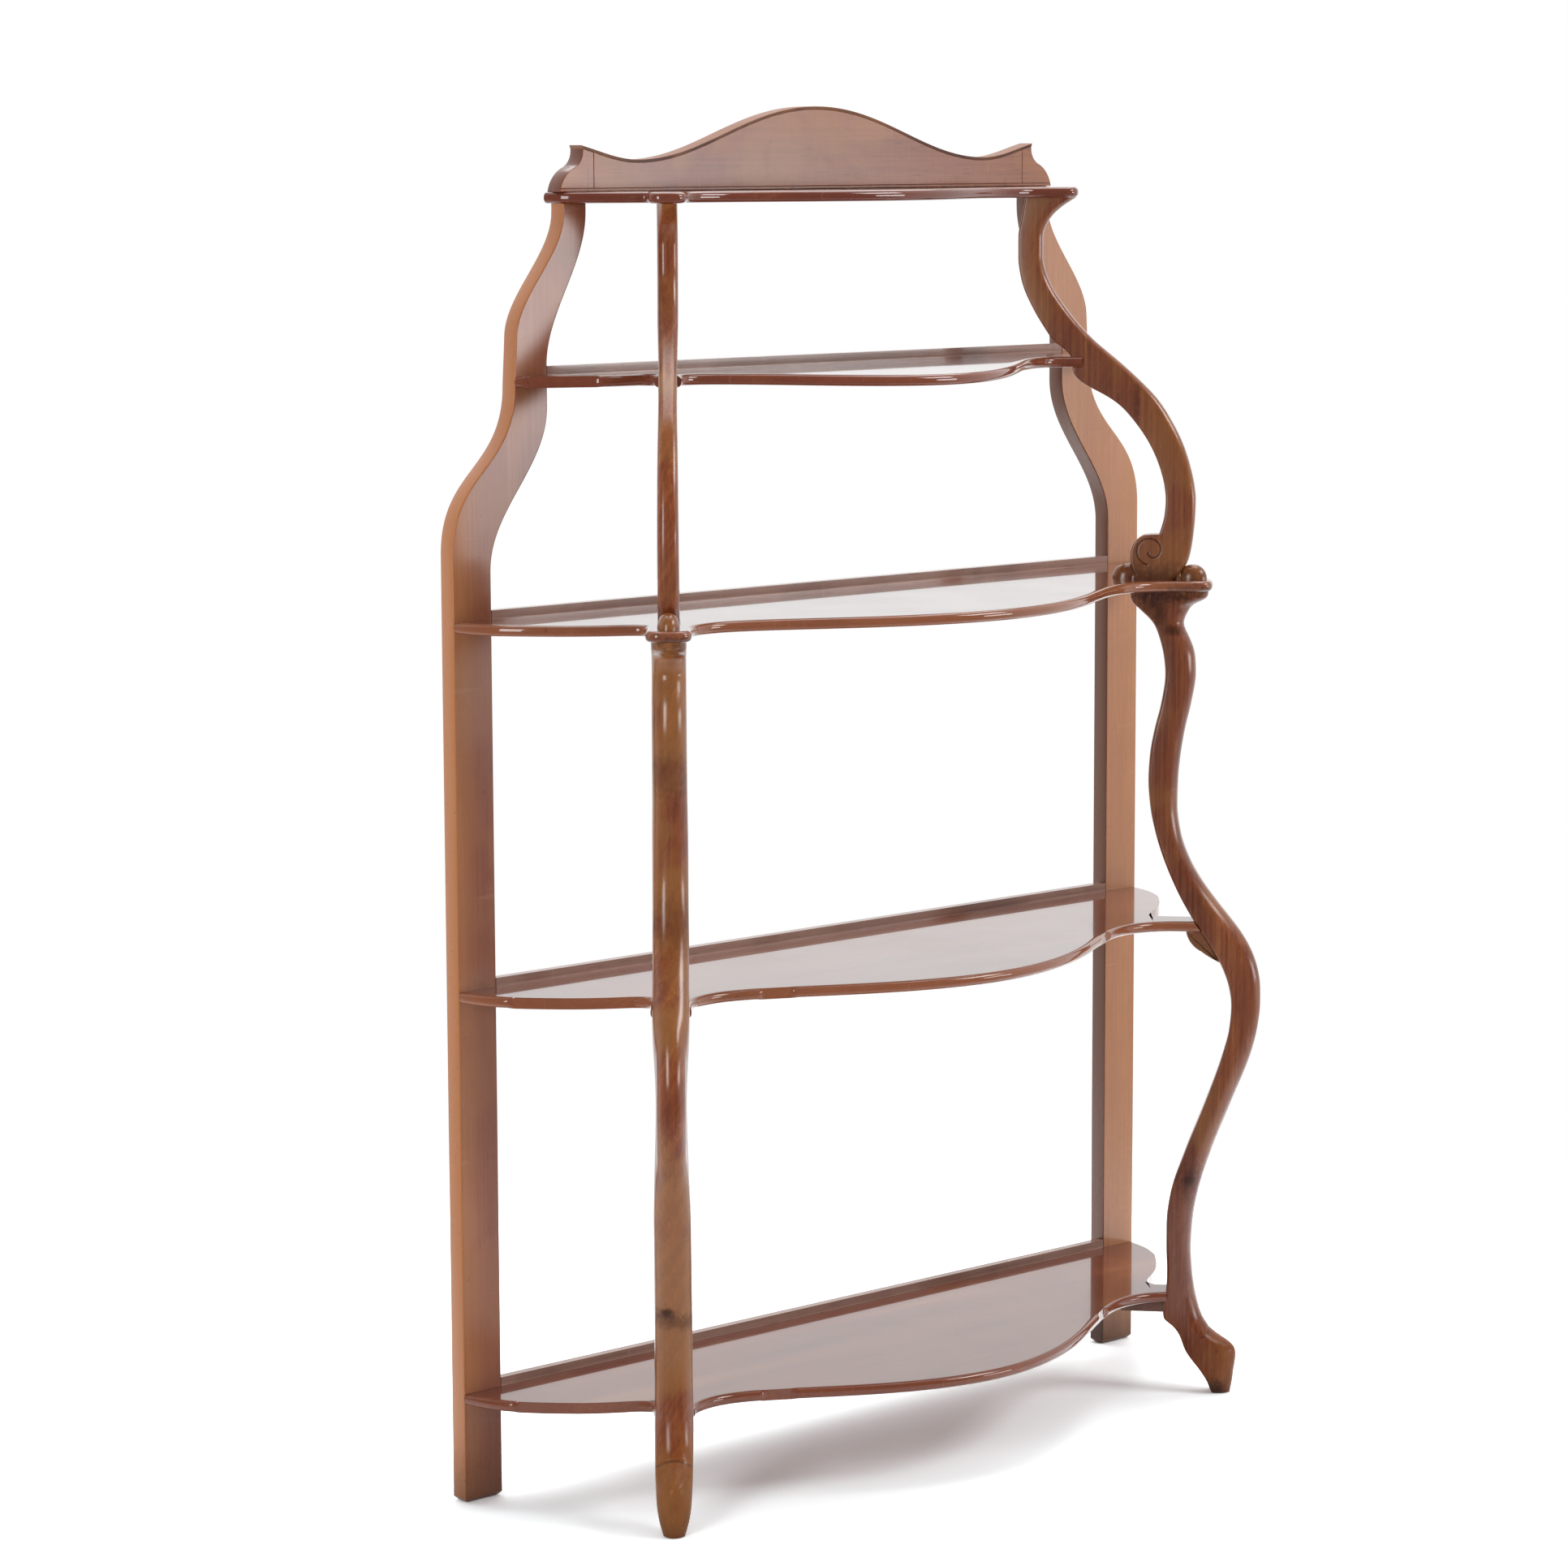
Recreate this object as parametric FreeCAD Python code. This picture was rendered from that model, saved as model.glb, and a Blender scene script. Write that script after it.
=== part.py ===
"""Five-tier serpentine etagere: two shaped back uprights, two scrolled front legs, five shelves.

Millimetres, +Z up, -Y is the front. While it is drawn, y = 0 is the back plane and x = 0 the
middle; seat() then moves every piece so that the origin is under the middle of the whole.
The legs are drawn in their own upright plane: s runs outwards from the foot, n runs across.
"""
import FreeCAD
import Part
import math
import os
from FreeCAD import Placement, Rotation, Vector

# ---------------------------------------------------------------- driving sizes
HALF_WIDTH = 550.0          # middle to the outer edge of an upright, lower three shelves
HALF_WIDTH_SECOND = 459.0   # the same at the second shelf
HALF_WIDTH_HEAD = 386.0     # the same under the top shelf
SHELF_DEPTH = 355.0         # back plane to the front of the lower three shelves
SECOND_DEPTH = 262.0
TOP_DEPTH = 172.0

SHELF_THICKNESS = 13.0
BOTTOM_TOP_Z = 130.0        # upper face of the lowest shelf, counted as the fifth
FOURTH_RISE = 471.0         # from each shelf's upper face to the next one's
THIRD_RISE = 423.0
SECOND_RISE = 273.0
TOP_RISE = 206.0
EDGE_BEVEL = 3.2            # softened edge of a shelf, above and below
NECK_S = -80.0              # s at which a wide shelf turns into its tongue
NECK_S_SECOND = -214.0
NECK_S_TOP = -236.0
FRONT_SLIP = 28.0           # how much farther out the tongue starts in front
FRONT_SLIP_SECOND = 12.0
FRONT_SLIP_TOP = 14.0
NECK_IN = 117.0             # hollow of the front edge, in from the leg's root
NECK_IN_SECOND = 192.0
NECK_IN_TOP = 223.0
NECK_BACK = 52.0            # and back from it
NECK_BACK_SECOND = 146.0
NECK_BACK_TOP = 166.0
NECK_LEAN_SECOND = 0.3      # slope of the front edge there
# How far each end of a front curve keeps its direction, as shares of the curve's reach.
ROOT_PULL = 0.35
NECK_PULL_OUT = 0.5
NECK_PULL_IN = 0.25
PEAK_PULL = 0.517

# Side of a shelf: shares of its run across and forwards, and how it leaves its corner.
SIDE_SHAPE = ((0.10, 0.27), (0.40, 0.56), (0.83, 0.82))
SIDE_LEAVE = (-0.15, -1.0)

UPRIGHT_THICKNESS = 23.0
UPRIGHT_WIDTH = 54.0        # face width beside the lower shelves
UPRIGHT_WIDTH_SECOND = 47.0
UPRIGHT_WIDTH_HEAD = 33.0
UPRIGHT_FOOT_CHAMFER = 5.0
UPRIGHT_NECK_SLOPE = 3.0    # how far the outer edge leans in above the second shelf
# Ogees of an upright: start and end as shares of the tier's height, then steepness.
OUTER_OGEE = (0.27, 0.97, 0.52)
OUTER_NECK = (0.22, 0.95, 0.34)
INNER_OGEE = (0.20, 0.87, 0.38)
INNER_NECK_END = 0.95
INNER_NECK_STEEP = 0.35

LEG_ROOT_IN = 101.0         # where the leg's plane crosses the foot, s = 0: in from the
LEG_ROOT_BACK = 77.0        # outer edge of the upright and back from the shelves' front
LEG_TURN = 49.5             # degrees from +X round towards the front
LOWER_LEG_HALF = 20.0       # half thickness
UPPER_LEG_HALF = 12.2
TONGUE_EXTRA = 3.0          # how much wider than the leg a shelf tongue is, each side
HOUSING_BOTTOM = -67.5      # s where the bottom shelf ends in the leg
HOUSING_SECOND = -181.0     # s where the second shelf ends in the leg
TONGUE_ROUGH = 45.0         # waste left on a tongue before it is sawn to length
LOBE_HALF = 26.0            # half width of the third shelf's lobe between the leg halves
LOBE_TIP = -20.0            # s of that lobe's end
TOP_LOBE_HALF = 22.5
TOP_LOBE_TIP = -187.7
LOBE_CORNER = 17.0

RAIL_THICKNESS = 11.0
RAIL_RISE = 10.0            # height of a rail above its shelf
RAIL_ROUND = 3.0
RAIL_END_GAP = 0.4          # each end, beside the upright

CREST_PEAK_RISE = 97.0      # above the top shelf
CREST_DIP_RISE = 36.0
CREST_TIP_RISE = 52.0
CREST_FOOT_OUT = 5.0        # past the uprights
CREST_TIP_IN = 34.0         # in from the crest's foot
CREST_DIP_IN = 82.0         # in from its tip
CREST_JOINT_IN = 16.0       # in from its tip, between the panel and its end piece
CREST_PEAK_PULL = 0.40      # shares of the span over which the line stays level
CREST_DIP_PULL = 0.36
CREST_FLICK = (30.0, 27.0, 6.0)           # level run, then back and down from the tip
CREST_CAP = 3.5
CREST_BASE = 3.5
CREST_CAP_POINT = (1.5, 0.5)              # how far the cap's point stands past its tip
CREST_WAIST_OUT = 13.0      # where the hollow of the crest's end meets its swell
CREST_WAIST_RISE = 27.0
CREST_END_BOW = 3.0
TOP_OVERHANG = 10.0         # top shelf past the uprights

BEARER_LENGTH = 58.0
BEARER_DEPTH = 14.5
BEARER_HALF = 14.0
BRACKET_TOP_S = -48.0       # bracket block under the fourth shelf, where it leaves the shelf
BRACKET_WAIST = (19.0, 25.0)              # from there: out and down to the waist
BRACKET_FOOT = (46.0, 40.0)               # and to the foot
BRACKET_INSIDE = 60.0
BRACKET_BULGE = 2.8
BRACKET_FOOT_BULGE = 0.8
BRACKET_HALF = 17.0

VOLUTE_S = -96.0            # centre of the scroll at the foot of the upper leg
VOLUTE_RISE = 31.0          # above the third shelf
VOLUTE_RADIUS = 25.0
VOLUTE_SEAT = 14.0          # how far in from the centre the scroll meets the shelf
VOLUTE_FLARE = 3.0          # how far its foot swells out
VOLUTE_SHIN = (12.5, 32.0)  # from the centre to where it runs into the shin
VOLUTE_INSIDE = 32.0        # from the centre to its hidden side
VOLUTE_HALF = 12.2
OUTER_BOSS = (-49.0, 15.0, 12.0, 19.5)    # middle s, then half length, half width, height
INNER_BOSS = (-121.0, 24.0, 12.0, 20.0)
BOSS_SIDES = 16
BOSS_RINGS = (0.0, 35.0, 62.0)            # degrees up the dome

TENON_HEIGHT = 8.0          # stub tenons of the uprights and legs in the top shelf
UPRIGHT_TENON = (20.0, 12.0)              # along x and y
LEG_TENON = (16.0, 12.0)                  # along s and n
LEG_TENON_S = -222.0
LOOSE_TENON = (18.0, 12.0)  # joins the leg halves through the third shelf
LOOSE_TENON_S = -84.0
LOOSE_TENON_REACH = 30.0    # each way from the third shelf
NAIL_SIDE = 3.4             # square cut nails
NAIL_SHARES = (0.45, 0.80)  # across an upright
CREST_NAIL_X = 200.0
CREST_NAIL_LENGTH = 40.0
UPRIGHT_NAIL_LENGTH = 40.0
BLOCK_NAIL_IN_SHELF = 8.0
BEARER_NAIL_S = -110.0
BRACKET_NAIL_S = -41.0
BRACKET_NAIL_DEPTH = 13.0
FIT = 0.1                   # clearance round tenons and nails

# ---------------------------------------------------------------- worked out from them
FOURTH_TOP_Z = BOTTOM_TOP_Z + FOURTH_RISE
THIRD_TOP_Z = FOURTH_TOP_Z + THIRD_RISE
SECOND_TOP_Z = THIRD_TOP_Z + SECOND_RISE
TOP_TOP_Z = SECOND_TOP_Z + TOP_RISE
CREST_PEAK_Z = TOP_TOP_Z + CREST_PEAK_RISE
CREST_FOOT_X = HALF_WIDTH_HEAD + CREST_FOOT_OUT
CREST_TIP_X = CREST_FOOT_X - CREST_TIP_IN
CREST_TIP_Z = TOP_TOP_Z + CREST_TIP_RISE
CREST_JOINT_X = CREST_TIP_X - CREST_JOINT_IN
Y_FRONT_OF_UPRIGHT = -UPRIGHT_THICKNESS
LEG_ROOT_X = HALF_WIDTH - LEG_ROOT_IN
LEG_ROOT_Y = LEG_ROOT_BACK - SHELF_DEPTH
TONGUE_LOWER = LOWER_LEG_HALF + TONGUE_EXTRA
TONGUE_UPPER = UPPER_LEG_HALF + TONGUE_EXTRA
TOP_UNDER_Z = TOP_TOP_Z - SHELF_THICKNESS
THIRD_UNDER_Z = THIRD_TOP_Z - SHELF_THICKNESS

# Leg stations: fraction of the span, inner s, outer s, half thickness share, nose radius.
FOOT_STATIONS = (
    (0.00, -10.0, 10.0, 0.56, 7.0),
    (0.10, -13.7, 13.1, 0.70, 9.0),
    (0.24, -22.4, 15.5, 0.86, 11.0),
    (0.42, -36.0, 16.5, 0.94, 12.0),
    (0.53, -43.7, 9.0, 0.96, 12.0),
    (0.66, -49.0, -12.0, 0.96, 12.0),
    (0.77, -64.0, -21.5, 0.97, 12.0),
    (0.88, -71.0, -26.8, 0.97, 12.0),
    (1.00, -70.8, -30.8, 0.98, 12.0),
)
CALF_STATIONS = (
    (0.00, -69.0, -33.3, 0.98, 12.0),
    (0.12, -69.0, -38.7, 0.98, 12.0),
    (0.27, -65.2, -31.2, 0.97, 12.0),
    (0.39, -47.5, -15.0, 0.97, 12.0),
    (0.53, -22.7, 9.5, 0.98, 12.0),
    (0.67, -0.8, 33.8, 1.00, 12.0),
    (0.80, 8.7, 44.0, 1.00, 12.0),
    (0.90, -2.5, 40.0, 1.01, 12.0),
    (1.00, -29.5, 18.3, 1.02, 12.0),
)
THIGH_STATIONS = (
    (0.00, -38.2, 8.4, 1.00, 12.0),
    (0.13, -66.6, -32.0, 0.97, 12.0),
    (0.27, -87.0, -56.8, 0.95, 12.0),
    (0.43, -96.2, -60.1, 0.95, 12.0),
    (0.58, -89.4, -52.3, 0.92, 12.0),
    (0.75, -76.3, -39.3, 0.91, 11.0),
    (0.86, -83.9, -47.9, 0.90, 10.0),
    (0.93, -99.5, -53.5, 0.90, 10.0),
    (0.965, -114.5, -38.0, 0.92, 12.0),
    (1.00, -119.5, -26.0, 0.95, 15.0),
)
SHIN_STATIONS = (
    (0.00, -104.0, -64.0, 1.02, 5.0),
    (0.10, -98.0, -48.5, 1.02, 6.0),
    (0.24, -83.8, -43.3, 1.01, 7.0),
    (0.38, -78.0, -41.4, 1.00, 7.0),
    (0.52, -84.7, -47.3, 0.98, 7.0),
    (0.66, -101.0, -59.6, 0.96, 7.0),
    (0.78, -124.0, -76.3, 0.93, 7.0),
    (0.86, -148.5, -91.0, 0.90, 7.0),
    (0.935, -184.0, -110.0, 0.88, 7.0),
    (1.00, -194.0, -128.3, 0.88, 7.0),
)
HEAD_STATIONS = (
    (0.00, -195.0, -143.5, 0.88, 7.0),
    (0.10, -216.5, -166.8, 0.90, 7.0),
    (0.20, -230.0, -185.5, 0.94, 7.0),
    (0.32, -243.5, -204.0, 0.98, 7.0),
    (0.45, -254.5, -220.3, 0.98, 7.0),
    (0.62, -260.3, -230.6, 0.98, 7.0),
    (0.76, -260.3, -230.6, 0.98, 7.0),
    (0.87, -256.5, -222.0, 0.98, 7.0),
    (0.95, -253.5, -206.0, 0.98, 6.0),
    (1.00, -252.0, -190.5, 0.98, 6.0),
)
LEG_BACK_BEVEL = 2.0        # softened inner arrises of a leg
LEG_NOSE_STEPS = 2          # flats that round each outer corner of a leg
LEG_FLAT = 1.0              # least half of the flat between the rounded corners
LEG_SAG = 1.5               # how far a straight piece of a leg may leave its curve
TOUCH = 1e-6                # distances below this count as none


# ---------------------------------------------------------------- small helpers
def seat(shape):
    """Move a piece from the drawing frame to the origin under the middle of the whole."""
    return shape.translated(Vector(0, SHELF_DEPTH / 2.0, 0))


def mirrored(shape):
    return shape.mirror(Vector(0, 0, 0), Vector(1, 0, 0))


def leg_point(s, n, z=0.0):
    """A place given along and across the right leg's plane."""
    turn = math.radians(LEG_TURN)
    x = LEG_ROOT_X + s * math.cos(turn) + n * math.sin(turn)
    y = LEG_ROOT_Y - s * math.sin(turn) + n * math.cos(turn)
    return Vector(x, y, z)


def to_leg(shape):
    """Stand a shape drawn with x = s and y = n in the right leg's plane."""
    moved = shape.copy()
    turn = Rotation(Vector(0, 0, 1), -LEG_TURN)
    moved.Placement = Placement(Vector(LEG_ROOT_X, LEG_ROOT_Y, 0), turn).multiply(moved.Placement)
    return moved


def bezier(*poles):
    curve = Part.BezierCurve()
    curve.setPoles(list(poles))
    return curve.toShape()


def spline(points, start=None, end=None):
    curve = Part.BSplineCurve()
    if start is None:
        curve.interpolate(points)
    else:
        curve.interpolate(points, InitialTangent=start, FinalTangent=end)
    return curve.toShape()


def line(a, b):
    return Part.LineSegment(a, b).toShape()


def face_of(edges):
    return Part.Face(Part.Wire(Part.__sortEdges__(edges)))


def ogee(x_low, z_low, x_high, z_high, steep):
    """S-curve that leaves and arrives upright; a larger steep makes its middle flatter."""
    lift = steep * (z_high - z_low)
    return bezier(Vector(x_low, 0, z_low), Vector(x_low, 0, z_low + lift),
                  Vector(x_high, 0, z_high - lift), Vector(x_high, 0, z_high))


def bow(a, b, out):
    """Arc from a to b whose middle stands out from the straight line by the vector out."""
    return Part.Arc(a, (a + b) * 0.5 + out, b).toShape()


def block(middle_x, middle_y, size, low, high, grow=0.0):
    """Upright box over a middle point; size is its x and y; grow widens it all round."""
    long_x = size[0] + 2 * grow
    long_y = size[1] + 2 * grow
    return Part.makeBox(long_x, long_y, high - low,
                        Vector(middle_x - long_x / 2.0, middle_y - long_y / 2.0, low))


def nail(start, length_y, length_z, grow):
    """Square cut nail along Y or Z from the middle of its first end."""
    side = NAIL_SIDE + 2 * grow
    long_y = length_y if length_y else side
    long_z = length_z if length_z else side
    y = start.y if length_y else start.y - side / 2.0
    z = start.z if length_z else start.z - side / 2.0
    return Part.makeBox(side, long_y, long_z, Vector(start.x - side / 2.0, y, z))


# ---------------------------------------------------------------- uprights
def upright():
    """Right back upright: a flat board whose outline steps in twice in ogees."""
    inner = HALF_WIDTH - UPRIGHT_WIDTH
    inner_second = HALF_WIDTH_SECOND - UPRIGHT_WIDTH_SECOND
    inner_head = HALF_WIDTH_HEAD - UPRIGHT_WIDTH_HEAD
    outer_neck = HALF_WIDTH_SECOND - UPRIGHT_NECK_SLOPE
    rise = SECOND_TOP_Z - THIRD_TOP_Z
    head_rise = TOP_UNDER_Z - SECOND_TOP_Z
    out_low = THIRD_TOP_Z + OUTER_OGEE[0] * rise
    out_high = THIRD_TOP_Z + OUTER_OGEE[1] * rise
    in_low = THIRD_TOP_Z + INNER_OGEE[0] * rise
    in_high = THIRD_TOP_Z + INNER_OGEE[1] * rise
    out_neck = SECOND_TOP_Z + OUTER_NECK[0] * head_rise
    out_head = SECOND_TOP_Z + OUTER_NECK[1] * head_rise
    in_neck = SECOND_TOP_Z + RAIL_RISE
    in_head = SECOND_TOP_Z + INNER_NECK_END * head_rise
    edges = [
        line(Vector(inner, 0, 0), Vector(HALF_WIDTH, 0, 0)),
        line(Vector(HALF_WIDTH, 0, 0), Vector(HALF_WIDTH, 0, out_low)),
        ogee(HALF_WIDTH, out_low, HALF_WIDTH_SECOND, out_high, OUTER_OGEE[2]),
        line(Vector(HALF_WIDTH_SECOND, 0, out_high), Vector(outer_neck, 0, out_neck)),
        ogee(outer_neck, out_neck, HALF_WIDTH_HEAD, out_head, OUTER_NECK[2]),
        line(Vector(HALF_WIDTH_HEAD, 0, out_head), Vector(HALF_WIDTH_HEAD, 0, TOP_UNDER_Z)),
        line(Vector(HALF_WIDTH_HEAD, 0, TOP_UNDER_Z), Vector(inner_head, 0, TOP_UNDER_Z)),
        line(Vector(inner_head, 0, TOP_UNDER_Z), Vector(inner_head, 0, in_head)),
        ogee(inner_second, in_neck, inner_head, in_head, INNER_NECK_STEEP),
        line(Vector(inner_second, 0, in_neck), Vector(inner_second, 0, in_high)),
        ogee(inner, in_low, inner_second, in_high, INNER_OGEE[2]),
        line(Vector(inner, 0, in_low), Vector(inner, 0, 0)),
    ]
    board = face_of(edges).extrude(Vector(0, -UPRIGHT_THICKNESS, 0))
    foot = [e for e in board.Edges if e.BoundBox.ZMax < TOUCH]
    return board.makeChamfer(UPRIGHT_FOOT_CHAMFER, foot)


# ---------------------------------------------------------------- shelves
def side_curve(corner, notch, leave):
    """Serpentine side of a shelf from its back corner to the notch beside the leg."""
    run = notch - corner
    points = [corner]
    for along_x, along_y in SIDE_SHAPE:
        points.append(corner + Vector(run.x * along_x, run.y * along_y, 0))
    points.append(notch)
    first = Vector(SIDE_LEAVE[0], SIDE_LEAVE[1], 0)
    return spline(points, first * run.Length, leave * run.Length)


def shelf_half(spec):
    """Edges of a shelf's right half, from the back corner round to the middle of the front."""
    corner = Vector(spec["back_x"], spec["back_y"], 0)
    half, end = spec["half"], spec["end"]
    notch = leg_point(spec["neck_s"], half)
    out = (leg_point(1, 0) - leg_point(0, 0)).normalize()
    back_end = leg_point(end, half)
    front_end = leg_point(end, -half)
    front_root = leg_point(spec["neck_s"] + spec["front_slip"], -half)
    neck = Vector(spec["neck_x"], -spec["neck_y"], 0)
    peak = Vector(0, -spec["depth"], 0)
    edges = [side_curve(corner, notch, out)]
    if spec["rounded"]:
        bend = end - LOBE_CORNER
        flat = half - LOBE_CORNER
        swell = LOBE_CORNER * math.sin(math.radians(45))
        edges.append(line(notch, leg_point(bend, half)))
        edges.append(Part.Arc(leg_point(bend, half), leg_point(bend + swell, flat + swell),
                              leg_point(end, flat)).toShape())
        edges.append(line(leg_point(end, flat), leg_point(end, -flat)))
        edges.append(Part.Arc(leg_point(end, -flat), leg_point(bend + swell, -flat - swell),
                              leg_point(bend, -half)).toShape())
        edges.append(line(leg_point(bend, -half), front_root))
    else:
        edges.append(line(notch, back_end))
        edges.append(line(back_end, front_end))
        edges.append(line(front_end, front_root))
    reach = (front_root - neck).Length
    lean = Vector(1, spec["neck_lean"], 0)
    edges.append(bezier(front_root, front_root - out * reach * ROOT_PULL,
                        neck + lean * reach * NECK_PULL_OUT, neck))
    edges.append(bezier(neck, neck - lean * spec["neck_x"] * NECK_PULL_IN,
                        peak + Vector(spec["neck_x"] * PEAK_PULL, 0, 0), peak))
    return edges


def shelf_blank(spec, top_z):
    """Plate with softened edges except along its back, before any joint is cut."""
    half = shelf_half(spec)
    edges = half + [mirrored(e) for e in half]
    edges.append(line(Vector(-spec["back_x"], spec["back_y"], 0),
                      Vector(spec["back_x"], spec["back_y"], 0)))
    plate = face_of(edges).extrude(Vector(0, 0, SHELF_THICKNESS))
    rim = []
    for edge in plate.Edges:
        box = edge.BoundBox
        level = box.ZMax - box.ZMin < TOUCH
        along_back = box.YMin > spec["back_y"] - TOUCH
        if level and not along_back:
            rim.append(edge)
    plate = plate.makeChamfer(EDGE_BEVEL, rim)
    return plate.translated(Vector(0, 0, top_z - SHELF_THICKNESS))


def wide_shelf(half, end, rounded):
    """Outline values of the lower three shelves, which share one pattern."""
    return {"back_x": HALF_WIDTH, "back_y": Y_FRONT_OF_UPRIGHT, "half": half, "end": end,
            "neck_s": NECK_S, "front_slip": FRONT_SLIP, "neck_x": LEG_ROOT_X - NECK_IN,
            "neck_y": -LEG_ROOT_Y - NECK_BACK, "neck_lean": 0.0, "depth": SHELF_DEPTH,
            "rounded": rounded}


def second_shelf():
    return {"back_x": HALF_WIDTH_SECOND, "back_y": Y_FRONT_OF_UPRIGHT, "half": TONGUE_UPPER,
            "end": HOUSING_SECOND + TONGUE_ROUGH, "neck_s": NECK_S_SECOND,
            "front_slip": FRONT_SLIP_SECOND, "neck_x": LEG_ROOT_X - NECK_IN_SECOND,
            "neck_y": -LEG_ROOT_Y - NECK_BACK_SECOND, "neck_lean": NECK_LEAN_SECOND,
            "depth": SECOND_DEPTH, "rounded": False}


def top_shelf():
    return {"back_x": HALF_WIDTH_HEAD + TOP_OVERHANG, "back_y": 0.0, "half": TOP_LOBE_HALF,
            "end": TOP_LOBE_TIP, "neck_s": NECK_S_TOP, "front_slip": FRONT_SLIP_TOP,
            "neck_x": LEG_ROOT_X - NECK_IN_TOP, "neck_y": -LEG_ROOT_Y - NECK_BACK_TOP,
            "neck_lean": 0.0, "depth": TOP_DEPTH, "rounded": True}


# ---------------------------------------------------------------- legs
def leg_section(z, inner, outer, half, nose):
    """Section of a leg: bevelled corners inside, a broad rounded nose outside."""
    nose = min(nose, half - LEG_FLAT, (outer - inner) / 2.0)
    corners = [Vector(inner, half - LEG_BACK_BEVEL, z), Vector(inner + LEG_BACK_BEVEL, half, z)]
    for step in range(LEG_NOSE_STEPS + 1):
        turn = math.radians(90.0 * (1.0 - step / LEG_NOSE_STEPS))
        along = outer - nose + nose * math.cos(turn)
        across = half - nose + nose * math.sin(turn)
        corners.append(Vector(along, across, z))
    corners += [Vector(p.x, -p.y, p.z) for p in reversed(corners)]
    return Part.makePolygon(corners + corners[:1])


def stations_between(stations, low_z, high_z, half):
    placed = []
    for share, inner, outer, thick, nose in stations:
        placed.append((low_z + share * (high_z - low_z), inner, outer, thick * half, nose))
    return placed


def curve_over_height(stations, first, second):
    """Smooth curve of two station values, with height as its parameter."""
    curve = Part.BSplineCurve()
    curve.interpolate(Points=[Vector(row[first], row[second], row[0]) for row in stations],
                      Parameters=[row[0] for row in stations])
    return curve


def slice_heights(curve, low, high):
    """Heights from low up to high between which the curve is nearly straight."""
    middle = (low + high) / 2.0
    chord = (curve.value(low) + curve.value(high)) * 0.5
    if (curve.value(middle) - chord).Length < LEG_SAG:
        return [low]
    return slice_heights(curve, low, middle) + slice_heights(curve, middle, high)


def leg_slices(stations):
    """The stations with more of them put in where the leg bends."""
    edges = curve_over_height(stations, 1, 2)
    sizes = curve_over_height(stations, 3, 4)
    heights = []
    for below, above in zip(stations, stations[1:]):
        heights += slice_heights(edges, below[0], above[0])
    heights.append(stations[-1][0])
    slices = []
    for z in heights:
        edge = edges.value(z)
        size = sizes.value(z)
        slices.append((z, edge.x, edge.y, size.x, size.y))
    return slices


def leg_loft(stations):
    sections = [leg_section(*station) for station in leg_slices(stations)]
    return Part.makeLoft(sections, True, True)


def lower_leg_stations():
    foot_top = BOTTOM_TOP_Z - SHELF_THICKNESS
    calf_top = FOURTH_TOP_Z - SHELF_THICKNESS
    return (stations_between(FOOT_STATIONS, 0.0, foot_top, LOWER_LEG_HALF)
            + stations_between(CALF_STATIONS, BOTTOM_TOP_Z, calf_top, LOWER_LEG_HALF)
            + stations_between(THIGH_STATIONS, FOURTH_TOP_Z, THIRD_UNDER_Z, LOWER_LEG_HALF))


def upper_leg_stations():
    shin_top = SECOND_TOP_Z - SHELF_THICKNESS
    return (stations_between(SHIN_STATIONS, THIRD_TOP_Z, shin_top, UPPER_LEG_HALF)
            + stations_between(HEAD_STATIONS, SECOND_TOP_Z, TOP_UNDER_Z, UPPER_LEG_HALF))


def housing(end, top_z, half):
    """The space that a shelf's tongue fills inside a leg, as a box open towards the shelf."""
    deep = 2 * SHELF_DEPTH
    box = Part.makeBox(deep, 2 * half, SHELF_THICKNESS, Vector(end - deep, -half, 0))
    return box.translated(Vector(0, 0, top_z - SHELF_THICKNESS))


def tongue_waste(end, top_z):
    """What is sawn off a tongue that was left long, so that it ends square at s = end."""
    wide = 3 * TONGUE_ROUGH
    box = Part.makeBox(2 * TONGUE_ROUGH, wide, SHELF_THICKNESS, Vector(end, -wide / 2.0, 0))
    return to_leg(box.translated(Vector(0, 0, top_z - SHELF_THICKNESS)))


def boss(spec):
    """Oval dome standing on the third shelf beside the scroll."""
    middle, half_length, half_width, height = spec
    rings = []
    for climb in BOSS_RINGS:
        shrink = math.cos(math.radians(climb))
        z = THIRD_TOP_Z + height * math.sin(math.radians(climb))
        corners = []
        for side in range(BOSS_SIDES):
            turn = 2 * math.pi * side / BOSS_SIDES
            corners.append(Vector(middle + half_length * shrink * math.cos(turn),
                                  half_width * shrink * math.sin(turn), z))
        rings.append(Part.makePolygon(corners + corners[:1]))
    return Part.makeLoft(rings, True, True)


def volute():
    """Scroll at the foot of the upper leg: a disc drawn out towards its seat and the shin."""
    radius = VOLUTE_RADIUS
    y = -VOLUTE_HALF
    centre_z = THIRD_TOP_Z + VOLUTE_RISE
    seat_in = Vector(VOLUTE_S - VOLUTE_SEAT, y, THIRD_TOP_Z)
    left = Vector(VOLUTE_S - radius, y, centre_z)
    crown = Vector(VOLUTE_S, y, centre_z + radius)
    shin = Vector(VOLUTE_S + VOLUTE_SHIN[0], y, centre_z + VOLUTE_SHIN[1])
    high = Vector(VOLUTE_S + VOLUTE_INSIDE, y, centre_z)
    low = Vector(high.x, y, THIRD_TOP_Z)
    round_out = radius * (math.sqrt(0.5) - 0.5)
    edges = [
        bow(seat_in, left, Vector(-VOLUTE_FLARE, 0, 0)),
        bow(left, crown, Vector(-round_out, 0, round_out)),
        line(crown, shin),
        line(shin, high),
        line(high, low),
        line(low, seat_in),
    ]
    return face_of(edges).extrude(Vector(0, 2 * VOLUTE_HALF, 0))


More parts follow.
